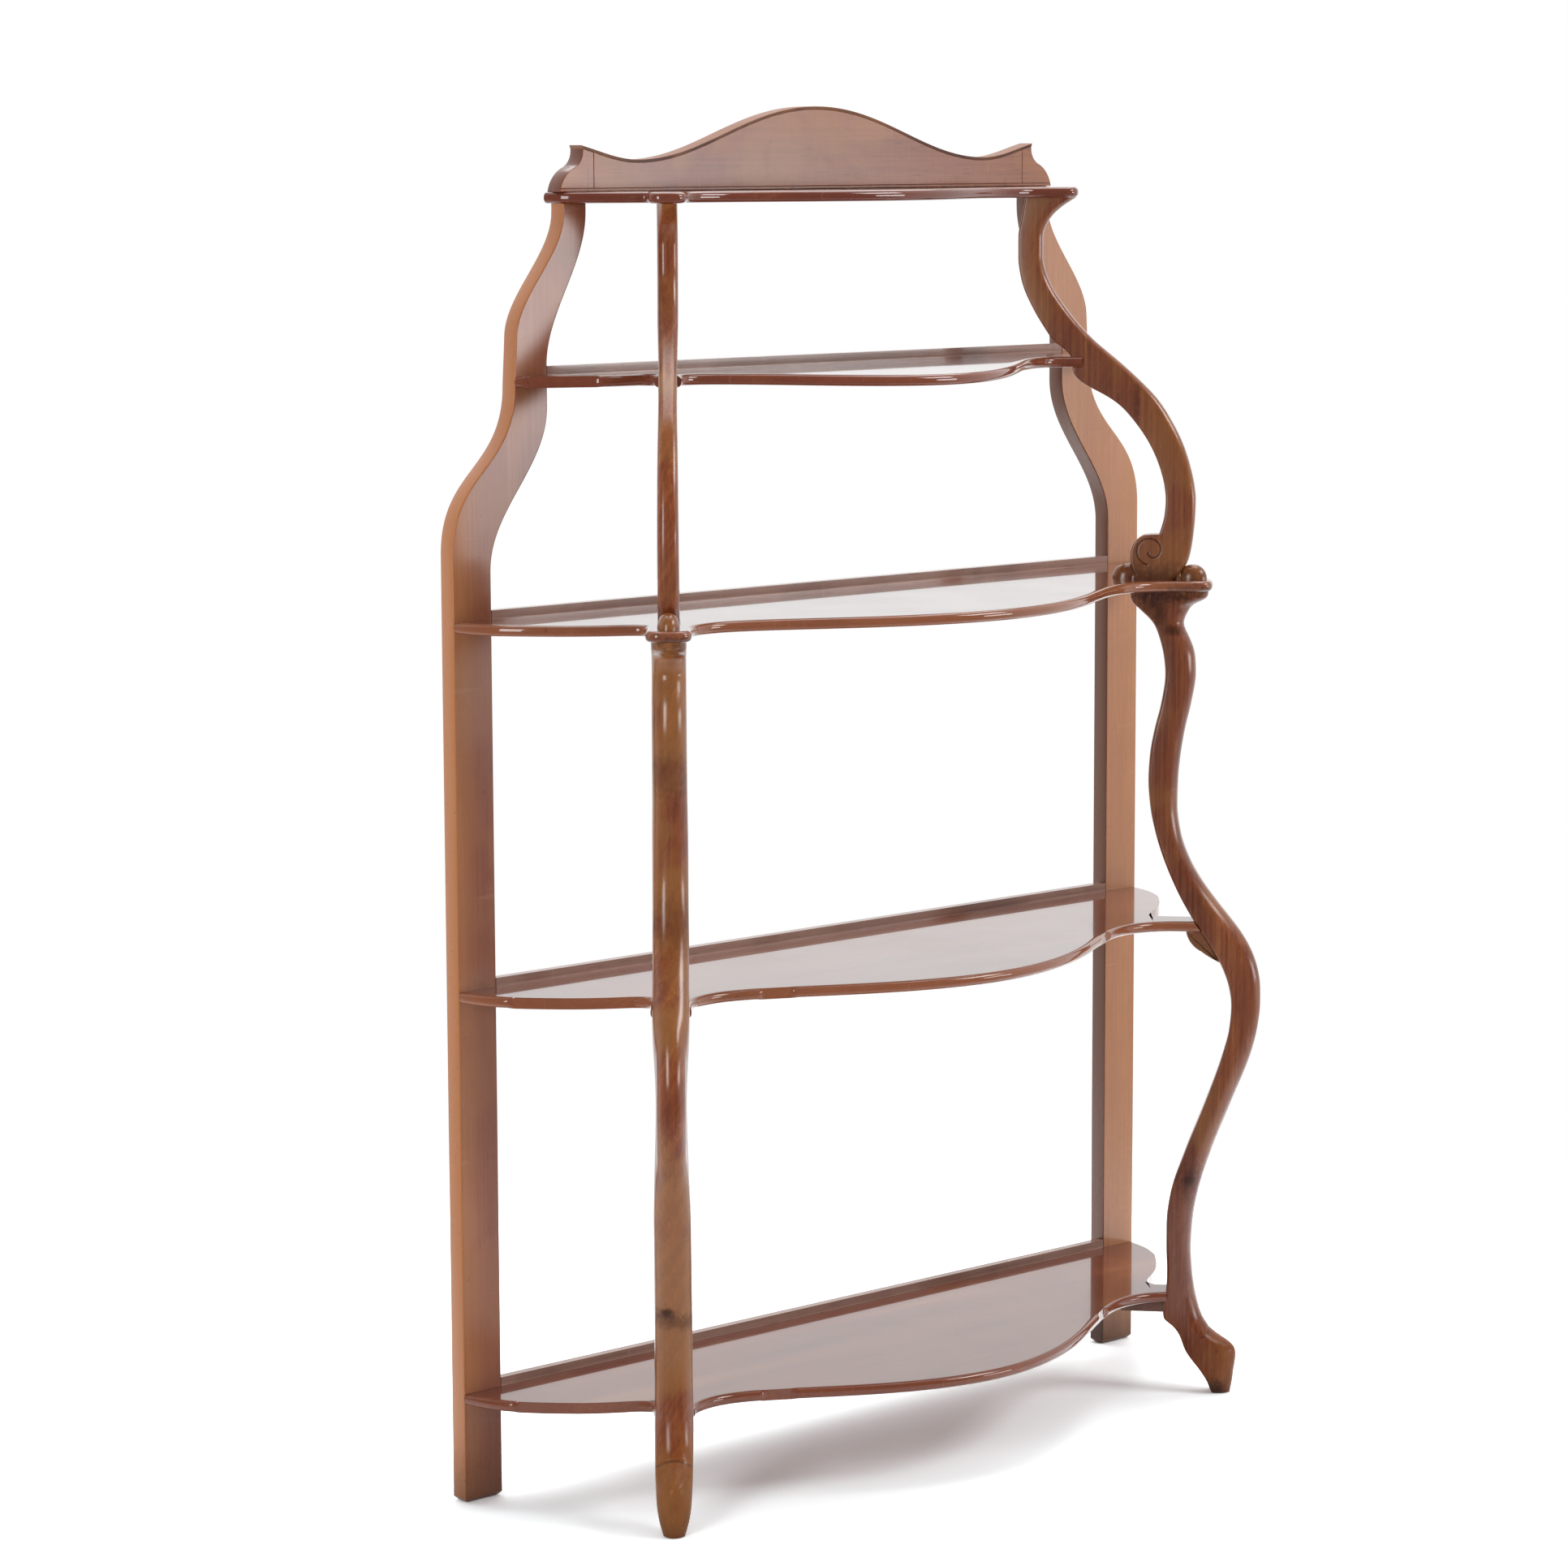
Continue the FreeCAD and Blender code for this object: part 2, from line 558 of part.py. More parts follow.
def lower_leg_local():
    leg = leg_loft(lower_leg_stations())
    return leg.cut(housing(HOUSING_BOTTOM, BOTTOM_TOP_Z, 2 * LOWER_LEG_HALF))


def upper_leg_local():
    leg = leg_loft(upper_leg_stations())
    leg = leg.fuse([volute(), boss(OUTER_BOSS), boss(INNER_BOSS)])
    return leg.cut(housing(HOUSING_SECOND, SECOND_TOP_Z, 2 * UPPER_LEG_HALF))


def leg_envelope():
    """The lower leg made wide, which trims the fourth shelf and its blocks to the leg."""
    wide = 3 * LOWER_LEG_HALF
    sections = []
    for z, inner, outer, half, nose in leg_slices(lower_leg_stations()):
        corners = [Vector(inner - FIT, -wide, z), Vector(outer, -wide, z),
                   Vector(outer, wide, z), Vector(inner - FIT, wide, z)]
        sections.append(Part.makePolygon(corners + corners[:1]))
    return Part.makeLoft(sections, True, True)


# ---------------------------------------------------------------- blocks under the shelves
def bracket_block_local():
    """Shaped block glued to the leg's inner face, carrying the fourth shelf."""
    top = FOURTH_TOP_Z - SHELF_THICKNESS
    y = -BRACKET_HALF
    start = Vector(BRACKET_TOP_S, y, top)
    waist = start + Vector(BRACKET_WAIST[0], 0, -BRACKET_WAIST[1])
    foot = start + Vector(BRACKET_FOOT[0], 0, -BRACKET_FOOT[1])
    inside = start + Vector(BRACKET_INSIDE, 0, 0)
    down_and_in = Vector(-1, 0, -1)
    outline = [
        bow(start, waist, down_and_in * BRACKET_BULGE),
        bow(waist, foot, down_and_in * BRACKET_FOOT_BULGE),
        line(foot, inside),
        line(inside, start),
    ]
    return face_of(outline).extrude(Vector(0, 2 * BRACKET_HALF, 0)).cut(leg_envelope())


def bearer_block_local():
    under = BOTTOM_TOP_Z - SHELF_THICKNESS
    end = HOUSING_BOTTOM
    bar = Part.makeBox(BEARER_LENGTH, 2 * BEARER_HALF, BEARER_DEPTH,
                       Vector(end - BEARER_LENGTH, -BEARER_HALF, under - BEARER_DEPTH))
    return bar.cut(leg_envelope())


# ---------------------------------------------------------------- rails
def back_rail(outer, width, top_z):
    """Upstand behind a shelf's back edge, between the uprights, rounded along its top."""
    half = outer - width - RAIL_END_GAP
    low = top_z - SHELF_THICKNESS
    high = top_z + RAIL_RISE
    front = Y_FRONT_OF_UPRIGHT
    bar = Part.makeBox(2 * half, RAIL_THICKNESS, high - low, Vector(-half, front, low))
    rim = [e for e in bar.Edges if e.BoundBox.ZMin > high - TOUCH and e.BoundBox.XLength > half]
    return bar.makeFillet(RAIL_ROUND, rim)


# ---------------------------------------------------------------- crest
def crest_top(lower_by):
    """Upper line of the crest's right half: a peak, a dip and an upswept tip."""
    peak = Vector(0, 0, CREST_PEAK_Z - lower_by)
    dip = Vector(CREST_TIP_X - CREST_DIP_IN, 0, TOP_TOP_Z + CREST_DIP_RISE - lower_by)
    tip = Vector(CREST_TIP_X, 0, CREST_TIP_Z - lower_by)
    sweep = bezier(peak, peak + Vector(dip.x * CREST_PEAK_PULL, 0, 0),
                   dip - Vector(dip.x * CREST_DIP_PULL, 0, 0), dip)
    level, back, down = CREST_FLICK
    flick = bezier(dip, dip + Vector(level, 0, 0), tip - Vector(back, 0, down), tip)
    return [sweep, flick]


def crest_body():
    """Whole crest under its cap, down to the top shelf, both halves, before it is divided."""
    tip = Vector(CREST_TIP_X, 0, CREST_TIP_Z - CREST_CAP)
    foot = Vector(CREST_FOOT_X, 0, TOP_TOP_Z)
    waist = Vector(tip.x + CREST_WAIST_OUT, 0, TOP_TOP_Z + CREST_WAIST_RISE)
    half = crest_top(CREST_CAP)
    half.append(bow(tip, waist, Vector(-CREST_END_BOW, 0, -CREST_END_BOW)))
    half.append(bow(waist, foot, Vector(CREST_END_BOW, 0, CREST_END_BOW)))
    edges = half + [mirrored(e) for e in half]
    edges.append(line(Vector(-foot.x, 0, foot.z), foot))
    return face_of(edges).extrude(Vector(0, -UPRIGHT_THICKNESS, 0))


def slab(x_low, x_high, z_low, z_high):
    return Part.makeBox(x_high - x_low, UPRIGHT_THICKNESS, z_high - z_low,
                        Vector(x_low, -UPRIGHT_THICKNESS, z_low))


def crest_pieces():
    """Panel, right end piece, base strip and cap; the left end piece is the right one mirrored."""
    body = crest_body()
    base_top = TOP_TOP_Z + CREST_BASE
    far = 2 * CREST_FOOT_X
    base = body.common(slab(-far, far, TOP_TOP_Z, base_top))
    panel = body.common(slab(-CREST_JOINT_X, CREST_JOINT_X, base_top, CREST_PEAK_Z))
    end = body.common(slab(CREST_JOINT_X, far, base_top, CREST_PEAK_Z))
    upper = crest_top(0.0)
    lower = crest_top(CREST_CAP)
    point = Vector(CREST_TIP_X + CREST_CAP_POINT[0], 0, CREST_TIP_Z + CREST_CAP_POINT[1])
    half = upper + lower + [
        line(Vector(CREST_TIP_X, 0, CREST_TIP_Z), point),
        line(point, Vector(CREST_TIP_X, 0, CREST_TIP_Z - CREST_CAP)),
    ]
    cap = face_of(half + [mirrored(e) for e in half]).extrude(Vector(0, -UPRIGHT_THICKNESS, 0))
    return panel, end, base, cap


# ---------------------------------------------------------------- tenons and nails
def upright_tenon(grow=0.0):
    middle = HALF_WIDTH_HEAD - UPRIGHT_WIDTH_HEAD / 2.0
    return block(middle, -UPRIGHT_THICKNESS / 2.0, UPRIGHT_TENON, TOP_UNDER_Z,
                 TOP_UNDER_Z + TENON_HEIGHT, grow)


def leg_tenon(grow=0.0):
    tenon = block(LEG_TENON_S, 0.0, LEG_TENON, TOP_UNDER_Z, TOP_UNDER_Z + TENON_HEIGHT, grow)
    return to_leg(tenon)


def loose_tenon(grow=0.0):
    return to_leg(block(LOOSE_TENON_S, 0.0, LOOSE_TENON, THIRD_UNDER_Z - LOOSE_TENON_REACH,
                        THIRD_TOP_Z + LOOSE_TENON_REACH, grow))


def tiers():
    """Outer edge and width of an upright beside each shelf in front of it, and the shelf's top."""
    wide = (HALF_WIDTH, UPRIGHT_WIDTH)
    return {"bottom": wide + (BOTTOM_TOP_Z,), "fourth": wide + (FOURTH_TOP_Z,),
            "third": wide + (THIRD_TOP_Z,),
            "second": (HALF_WIDTH_SECOND, UPRIGHT_WIDTH_SECOND, SECOND_TOP_Z)}


def upright_nails(grow=0.0):
    """Nails through the right upright into the back edges of the shelves in front of it."""
    nails = []
    for outer, width, top_z in tiers().values():
        for share in NAIL_SHARES:
            start = Vector(outer - width * share, -UPRIGHT_NAIL_LENGTH,
                           top_z - SHELF_THICKNESS / 2.0)
            nails.append(nail(start, UPRIGHT_NAIL_LENGTH, 0, grow))
    return nails


def block_nails(grow=0.0):
    """Nails up through the bearer block and the bracket block into their shelves."""
    nails = []
    seats = ((BEARER_NAIL_S, BOTTOM_TOP_Z, BEARER_DEPTH),
             (BRACKET_NAIL_S, FOURTH_TOP_Z, BRACKET_NAIL_DEPTH))
    for s, top_z, depth in seats:
        start = leg_point(s, 0, top_z - SHELF_THICKNESS - depth)
        nails.append(nail(start, 0, depth + BLOCK_NAIL_IN_SHELF, grow))
    return nails


def crest_nail(grow=0.0):
    """Nail up through the top shelf into the crest."""
    start = Vector(CREST_NAIL_X, -UPRIGHT_THICKNESS / 2.0, TOP_UNDER_Z)
    return nail(start, 0, CREST_NAIL_LENGTH, grow)


# ---------------------------------------------------------------- assembly
def save(name, shape):
    seat(shape).exportStep("parts/" + name + ".step")


def save_pair(name, shape):
    save(name + "_right", shape)
    save(name + "_left", mirrored(shape))


def both(shapes):
    return shapes + [mirrored(s) for s in shapes]


def shelf_specs():
    return {"bottom": wide_shelf(TONGUE_LOWER, HOUSING_BOTTOM + TONGUE_ROUGH, False),
            "fourth": wide_shelf(TONGUE_LOWER, 0.0, False),
            "third": wide_shelf(LOBE_HALF, LOBE_TIP, True),
            "second": second_shelf()}


def shelf_cuts(name, top_z):
    """What is taken off one shelf where it meets the legs."""
    cuts = {"bottom": [tongue_waste(HOUSING_BOTTOM, top_z)],
            "fourth": [to_leg(leg_envelope())],
            "third": [loose_tenon(FIT)],
            "second": [tongue_waste(HOUSING_SECOND, top_z)]}
    return both(cuts[name] + upright_nails(FIT) + block_nails(FIT))


def largest(shape):
    return max(shape.Solids, key=lambda solid: solid.Volume)


def save_shelves_and_rails():
    for name, spec in shelf_specs().items():
        outer, width, top_z = tiers()[name]
        shelf = shelf_blank(spec, top_z).cut(shelf_cuts(name, top_z))
        save("shelf_" + name, largest(shelf))
        save("back_rail_" + name, back_rail(outer, width, top_z))
    holes = both([upright_tenon(FIT), leg_tenon(FIT), crest_nail(FIT)])
    save("shelf_top", shelf_blank(top_shelf(), TOP_TOP_Z).cut(holes))


def save_crest():
    holes = both([crest_nail(FIT)])
    panel, end, base, cap = crest_pieces()
    save("crest_panel", panel.cut(holes))
    save_pair("crest_end", end)
    save("crest_base", base.cut(holes))
    save("crest_cap", cap)


def save_legs_and_uprights():
    save_pair("back_upright", upright().fuse(upright_tenon()).cut(upright_nails(FIT)))
    save_pair("lower_leg", to_leg(lower_leg_local()).cut(loose_tenon(FIT)))
    save_pair("upper_leg", to_leg(upper_leg_local()).fuse(leg_tenon()).cut(loose_tenon(FIT)))
    save_pair("bracket_block", to_leg(bracket_block_local()).cut(block_nails(FIT)))
    save_pair("bearer_block", to_leg(bearer_block_local()).cut(block_nails(FIT)))


def save_fasteners():
    groups = {"upright_nails": upright_nails(), "block_nails": block_nails(),
              "crest_nails": [crest_nail()], "loose_tenons": [loose_tenon()]}
    for name, shapes in groups.items():
        save(name, Part.makeCompound(both(shapes)))


def main():
    os.makedirs("parts", exist_ok=True)
    save_shelves_and_rails()
    save_crest()
    save_legs_and_uprights()
    save_fasteners()


main()
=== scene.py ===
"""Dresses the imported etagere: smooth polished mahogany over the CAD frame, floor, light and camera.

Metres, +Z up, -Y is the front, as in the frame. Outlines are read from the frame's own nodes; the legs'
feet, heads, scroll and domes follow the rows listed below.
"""

import bmesh
import bpy
import math
import numpy as np
from mathutils import Matrix, Vector


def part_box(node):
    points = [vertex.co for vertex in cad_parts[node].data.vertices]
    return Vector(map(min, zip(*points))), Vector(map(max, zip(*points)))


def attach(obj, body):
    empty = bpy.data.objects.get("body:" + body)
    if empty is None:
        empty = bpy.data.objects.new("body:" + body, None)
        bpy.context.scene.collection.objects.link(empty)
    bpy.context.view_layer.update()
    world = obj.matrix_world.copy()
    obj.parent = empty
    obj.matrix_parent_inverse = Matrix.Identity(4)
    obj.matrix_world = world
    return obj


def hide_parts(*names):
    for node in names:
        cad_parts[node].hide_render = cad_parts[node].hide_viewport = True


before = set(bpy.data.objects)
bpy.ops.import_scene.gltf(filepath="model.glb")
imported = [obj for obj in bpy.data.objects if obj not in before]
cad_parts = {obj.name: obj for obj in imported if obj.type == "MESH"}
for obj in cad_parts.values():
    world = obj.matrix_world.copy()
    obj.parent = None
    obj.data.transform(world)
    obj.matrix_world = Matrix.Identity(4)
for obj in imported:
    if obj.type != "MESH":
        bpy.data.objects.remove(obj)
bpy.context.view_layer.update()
MM = 0.001

# ---------------------------------------------------------------- sizes
BEVEL = 3.2 * MM  # how far the CAD's bevel sets a shelf's top face in
BULLNOSE = 5.6 * MM  # radius of a shelf's worn round edge
BULLNOSE_STEPS = 7
UPRIGHT_ARRIS = 1.2 * MM
CREST_ARRIS = 0.6 * MM
BLOCK_ARRIS = 1.0 * MM
BRACKET_ARRIS = 1.6 * MM
ARRIS_STEPS = 3
RAIL_ROUND = 3.0 * MM
RAIL_STEPS = 7
RIM_SHARE = 0.4  # flat rim beside a rounded edge, as a share of the edge's radius
RIM_MOST = 1.5 * MM
UPRIGHT_FOOT = 5.0 * MM  # chamfer under an upright, and its round as shares of height and cut
FOOT_ROUND = ((1.0, 0.0), (0.45, 0.42), (0.12, 0.8), (0.0, 1.0))
FINE = 3.0 * MM  # longest step along an outline's curve
COARSE = 30.0 * MM  # longest step along a straight run
CORNER = math.radians(24)  # a sharper turn than this stays a corner
UNEVEN = 2.6  # a run that many times longer than its neighbour keeps its heading
STRAIGHT = 0.99999  # cosine between two headings that counts as straight
STRAIGHT_SINE = 2e-4
SLIGHT = 0.08  # sine of a turn too slight for a mitre
NEAR = 0.2 * MM  # how near to a line still counts as on it
SHARP = 35  # degrees from which an edge isn't shaded smooth
LEG_SHARP = 50

SQUARE_TO_LEG = 0.97  # how nearly a tongue's end lies across the leg's plane
FAR_OUT = 0.25  # the tongues at the legs are farther out than this
TONGUE_NEAR_LEG = -0.050  # s where the fourth shelf's tongue starts to follow the leg
TONGUE_NEAR_LEG_RUN = 0.010
LEG_SLANT = 0.72  # how far the leg leans out per length of fall at that shelf
# How far each old shelf has warped at the middle of its front, and how far from the middle.
SHELF_SAG = {"bottom": 1.5 * MM, "fourth": -2.5 * MM, "third": -1.5 * MM, "second": 5.0 * MM, "top": 0.0}
SAG_REACH = {"bottom": 0.36, "fourth": 0.36, "third": 0.36, "second": 0.27, "top": 0.25}
LOBE_S = {"third": -0.035, "top": -0.065}  # middle of the lobes that rest on the legs

LEG_TURN = math.radians(49.5)
LEG_ROOT = Vector((0.449, -0.1005))
LEG_STEP = 3.5 * MM
FINE_STEP = 1.1 * MM  # between rings where a leg is carved
LEG_CORNER_STEPS = 7
LIP_CRISP = 28.0 * MM  # how far under the third shelf the carved lip stays crisp
CRISP_RUN = 14.0 * MM
LEG_CROWN = 1.6 * MM  # how far the middle of a leg's nose stands before its sides
LEG_PILLOW = 0.06  # share by which a leg's flat sides swell in their middle
LOWER_NOSE = 19.0 * MM
UPPER_NOSE = 7.5 * MM
LOWER_BACK = 3.5 * MM
UPPER_BACK = 2.6 * MM
SECTION_POINTS = 10  # a whole section of a leg has at least so many points
SECTION_HALF = 5.0 * MM  # and is at least so thick on each side
NOSE_SPARE = 0.4 * MM  # flat between the two rounds of a leg's nose
NOSE_STEPS = 6
BACK_SHARE = 0.4  # largest inner round, as a share of thickness or width
SIDE_STEPS = 8
TOE_STEP = FINE_STEP * 1.4
CREASE_STEP = FINE_STEP * 0.4
CREASE_ZONE = (0.052, 0.096)  # heights between which the toe's crease needs its fine rings
LIP_STEP = FINE_STEP * 0.5
LIP_ZONE = 0.045
BODY_CLEAR = (15.0 * MM, 3.0 * MM)  # gap from the foot's rows and from the lip's rows to the body
HALF_EASE = 9  # how many fine steps each curve is smoothed over
SWELL_EASE = 12
CRISP_EASE = 3
BODY_EASE = 11
UPPER_EASE = 7

# Rounded lip at the head of a lower leg: depth under the shelf, then inner and outer s.
LIP_ROWS = ((0.0, -0.1200, -0.0246), (0.008, -0.1198, -0.0262), (0.0125, -0.1180, -0.0330),
            (0.017, -0.1155, -0.0430), (0.021, -0.1098, -0.0474), (0.026, -0.1045, -0.0503),
            (0.032, -0.0984, -0.0514))
# Foot of a lower leg: height, then inner and outer s.
FOOT_ROWS = ((0.0, -0.0117, 0.0112), (0.0137, -0.0166, 0.0138), (0.0271, -0.0243, 0.0155),
             (0.0485, -0.0404, 0.0180), (0.056, -0.0448, 0.0166), (0.0605, -0.0466, 0.0134),
             (0.065, -0.0482, 0.0078), (0.0695, -0.0498, 0.0006), (0.075, -0.0522, -0.0076),
             (0.084, -0.0585, -0.0168), (0.0975, -0.0725, -0.0248), (0.108, -0.0730, -0.0284))
# How much thicker each side of a lower leg is than its CAD solid, by height.
LEG_SWELL = ((0.0, 1.6 * MM), (0.012, 2.5 * MM), (0.045, 2.0 * MM), (0.11, 2.8 * MM), (0.17, 2.1 * MM),
             (0.31, 2.1 * MM), (0.43, 1.1 * MM), (0.54, 0.4 * MM), (0.67, 1.3 * MM), (0.98, 1.4 * MM),
             (1.02, 1.0 * MM))
# Foot of an upper leg: height over the third shelf, inner and outer s, half thickness.
SHIN_ROWS = ((0.0, -0.104, -0.0665, 0.01244), (0.0095, -0.102, -0.0585, 0.01244),
             (0.026, -0.098, -0.0492, 0.01244), (0.0624, -0.0838, -0.0433, 0.01232))

SCROLL_S = -96.0 * MM  # centre of the scroll along the leg's plane
SCROLL_RISE = 31.0 * MM  # above the third shelf
SCROLL_RADIUS = 25.0 * MM
SCROLL_DROP = 38.0 * MM  # the scroll is longer below its centre
SCROLL_EYE = (-0.5 * MM, 5.0 * MM)  # centre of the cut spiral, from the scroll's centre
SCROLL_START = math.radians(260)
SCROLL_WIND = math.radians(400)
SCROLL_CUT = 1.3 * MM  # depth and half width of the cut
SCROLL_CUT_HALF = 0.85 * MM
SCROLL_STEPS = 74  # points across each face of the scroll
SCROLL_LINE = (17.5, 5.0, 9.5)  # the spiral's radius in millimetres, its fall and its last curl
SCROLL_POINTS = 160
SCROLL_FACE = 0.85  # share of the half thickness from which a place is on a face
SCROLL_STEP = FINE_STEP * 0.8
CROWN_STEP = 0.25 * MM
CROWN_ZONE = (0.002, 0.0005)  # below and above the scroll's crown

# Domes round the scroll: middle s, half length, half width, height.
BOSSES = ((-0.0448, 0.0178, 0.0126, 0.0188), (-0.1245, 0.0192, 0.0122, 0.0198),
          (-0.0615, 0.0062, 0.0112, 0.0118), (-0.1150, 0.0125, 0.0128, 0.0150))
BOSS_FULLNESS = 2.15  # 2 is an ellipsoid; more is boxier
BOSS_AROUND = 48
BOSS_UP = 14

TOE_CREASE_Z = 82.0 * MM  # arched cut over each toe
TOE_CREASE_DROP = 9.0 * MM
TOE_CREASE_DEPTH = 0.9 * MM
TOE_CREASE_HALF = 1.8 * MM
TOE_CREASE_FRONT = (-0.034, 0.010)  # s where the cut starts, and how far it takes to be full
TOE_CREASE_EASE = 0.5  # share of the cut that is lost towards the sides
TOE_CREASE_SHADE = 0.5  # how dark the cut is beside the scroll's
TOE_TAPER = 0.20  # how much painted shade the toe's crease gets beside the scroll's cut
TOE_TIP = (-0.014, 0.032)  # s where the taper starts, and its run
TOE_DOME = (6.0 * MM, 62.0 * MM, 20.0 * MM)  # fall of a toe's top at its sides; z; reach
TOE_DOME_FRONT = (-0.030, 0.040)
ANKLE_CREASE = (0.000, 0.060, 0.011)  # s, z and radius of the crease on a foot's sides
ANKLE_DEPTH = 0.055

CAMERA_PLACE = Vector((-3.6320, -3.9057, 1.5591))
CAMERA_TURN = math.radians(-41.376)
CAMERA_DIP = math.radians(8.045)
CAMERA_ROLL = math.radians(-0.197)
CAMERA_LENS = 104.27
SENSOR = 36.0  # millimetres across
CLIP_END = 60.0

FLOOR_NEAR = 1.1  # where the floor starts to fade into the white backdrop
FLOOR_FAR = 1.9
FLOOR_REACH = 14.0
FLOOR_DROP = 0.5 * MM
FLOOR_GREY = (0.80, 0.80, 0.80, 1.0)
FLOOR_SEEN = (1.39, 1.46, 1.49)  # how pale the floor looks beside its true grey
WHITE = (1.0, 1.0, 1.0, 1.0)
BACKDROP_HEADING = (0.66, 0.75, 0.1)
ROOM_DIM = 0.22  # the room in front beside the white backdrop
FLOOR_DIM_RUN = (-1.6, 0.6)  # where the room gets brighter, along the backdrop's heading
WORLD_DIM_RUN = (-0.35, 0.25)
LOOK_AT = (0.0, 0.0, 0.9)
# Lamps: place, target, size, power.
LAMPS = {"overhead": ((0.5, 0.6, 3.4), (0.0, 0.0, 0.6), (2.6, 2.6), 60.0),
         "softbox_left": ((-3.5, -1.05, 1.6), LOOK_AT, (1.0, 1.9), 50.0),
         "softbox_right": ((2.0, -2.9, 3.3), LOOK_AT, (1.6, 1.2), 62.0),
         "far_screen": ((5.36, -7.44, 1.03), LOOK_AT, (2.9, 1.4), 114.0)}

SHELVES = ("bottom", "fourth", "third", "second", "top")
RAILS = ("bottom", "fourth", "third", "second")
CREST = ("crest_panel", "crest_end_left", "crest_end_right", "crest_base", "crest_cap")
SIDES = {"left": -1, "right": 1}


# ---------------------------------------------------------------- outlines from the frame
def merged(node):
    """A copy of a node's mesh with its loose triangles joined."""
    bm = bmesh.new()
    bm.from_mesh(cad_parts[node].data)
    bmesh.ops.remove_doubles(bm, verts=bm.verts, dist=2e-6)
    return bm


def outline_of(bm, axis, level):
    """Smooth longest outline of a mesh's faces at a level across an axis; the mesh is freed."""
    in_plane = {f.index for f in bm.faces
                if all(abs(v.co[axis] - level) < 1e-5 for v in f.verts)}
    ahead = {}
    for face in bm.faces:
        if face.index not in in_plane:
            continue
        for loop in face.loops:
            if any(f.index not in in_plane for f in loop.edge.link_faces):
                ahead[loop.vert.index] = loop.link_loop_next.vert.index
    bm.verts.ensure_lookup_table()
    keep = [a for a in range(3) if a != axis]
    loops = []
    while ahead:
        start = next(iter(ahead))
        chain = [start]
        step = ahead.pop(start)
        while step != start and step in ahead:
            chain.append(step)
            step = ahead.pop(step)
        loops.append(np.array([[bm.verts[i].co[k] for k in keep] for i in chain]))
    bm.free()
    longest = max(loops, key=lambda p: np.abs(np.roll(p, -1, 0) - p).sum())
    return refined(straightened(counter_clockwise(longest)))


def cross(a, b):
    return a[:, 0] * b[:, 1] - a[:, 1] * b[:, 0]


def lengths(arrows):
    return np.linalg.norm(arrows, axis=1)[:, None]


def counter_clockwise(points):
    return points if cross(points, np.roll(points, -1, 0)).sum() > 0 else points[::-1]


def straightened(points):
    """The outline without points that lie on a straight run."""
    before = points - np.roll(points, 1, 0)
    after = np.roll(points, -1, 0) - points
    reach = (lengths(before) * lengths(after))[:, 0]
    return points[np.abs(cross(before, after)) > STRAIGHT_SINE * reach]


def hermite(t, start, leave, end, arrive):
    """A place on the curve from start to end that has the given slopes there."""
    return ((2 * t**3 - 3 * t**2 + 1) * start + (t**3 - 2 * t**2 + t) * leave
            + (-2 * t**3 + 3 * t**2) * end + (t**3 - t**2) * arrive)


def refined(points):
    """The outline with smooth curves through its points; sharp corners stay."""
    after = np.roll(points, -1, 0) - points
    length = lengths(after)
    ahead = after / length
    behind = np.roll(ahead, 1, 0)
    length_behind = np.roll(length, 1, 0)
    soft = ahead / length + behind / length_behind
    soft = np.where(length > UNEVEN * length_behind, ahead, soft)
    soft = np.where(length_behind > UNEVEN * length, behind, soft)
    soft /= lengths(soft)
    turn = np.arccos(np.clip((ahead * behind).sum(1), -1, 1))[:, None]
    leave = np.where(turn > CORNER, ahead, soft)
    arrive = np.where(turn > CORNER, behind, soft)
    result = []
    for i, point in enumerate(points):
        j = (i + 1) % len(points)
        run = length[i, 0]
        count = math.ceil(run / (FINE if np.dot(leave[i], arrive[j]) < STRAIGHT else COARSE))
        result += [hermite(step / count, point, leave[i] * run, points[j], arrive[j] * run)
                   for step in range(count)]
    return np.array(result)


def quarter_turned(arrows):
    return np.stack([-arrows[:, 1], arrows[:, 0]], 1)


def inset(points, weights, distance):
    """The outline moved inwards; weights say how much each edge takes of the distance."""
    edge = np.roll(points, -1, 0) - points
    normal = quarter_turned(edge / lengths(edge))
    before = np.roll(normal, 1, 0)
    want = (weights * distance)[:, None]
    want_before = np.roll(want, 1, 0)
    sine = cross(before, normal)[:, None]
    slight = np.abs(sine) < SLIGHT
    mean = (before + normal) / lengths(before + normal)
    mitre = quarter_turned(want * before - want_before * normal) / np.where(slight, 1, sine)
    return points + np.where(slight, mean * (want + want_before) / 2, mitre)


# ---------------------------------------------------------------- nodes
def fill(tree, node, inputs):
    """Gives a node its inputs; each may be a value or another node's output."""
    for key, value in inputs.items():
        if isinstance(value, bpy.types.NodeSocket):
            tree.links.new(value, node.inputs[key])
        else:
            node.inputs[key].default_value = value


def add(tree, kind, inputs=None, pick=0, **settings):
    """A new node with its settings and inputs; gives back the picked one of its outputs."""
    node = tree.nodes.new(kind if "Node" in kind else "ShaderNode" + kind)
    for key, value in settings.items():
        setattr(node, key, value)
    fill(tree, node, inputs or {})
    return node.outputs[pick] if len(node.outputs) else None


def calc(tree, operation, *values):
    """A sum of up to three numbers."""
    return add(tree, "Math", dict(enumerate(values)), operation=operation)


def new_group(name, inputs, outputs, kind="ShaderNodeTree", gives="Float"):
    """A node group and its inputs, each told by its kind or by its usual number."""
    group = bpy.data.node_groups.new(name, kind)
    for label, value in inputs.items():
        number = isinstance(value, float)
        socket = group.interface.new_socket(label, in_out="INPUT",
                                            socket_type="NodeSocket" + ("Float" if number else value))
        if number:
            socket.default_value = value
    for label in outputs:
        group.interface.new_socket(label, in_out="OUTPUT", socket_type="NodeSocket" + gives)
    return group, group.nodes.new("NodeGroupInput").outputs


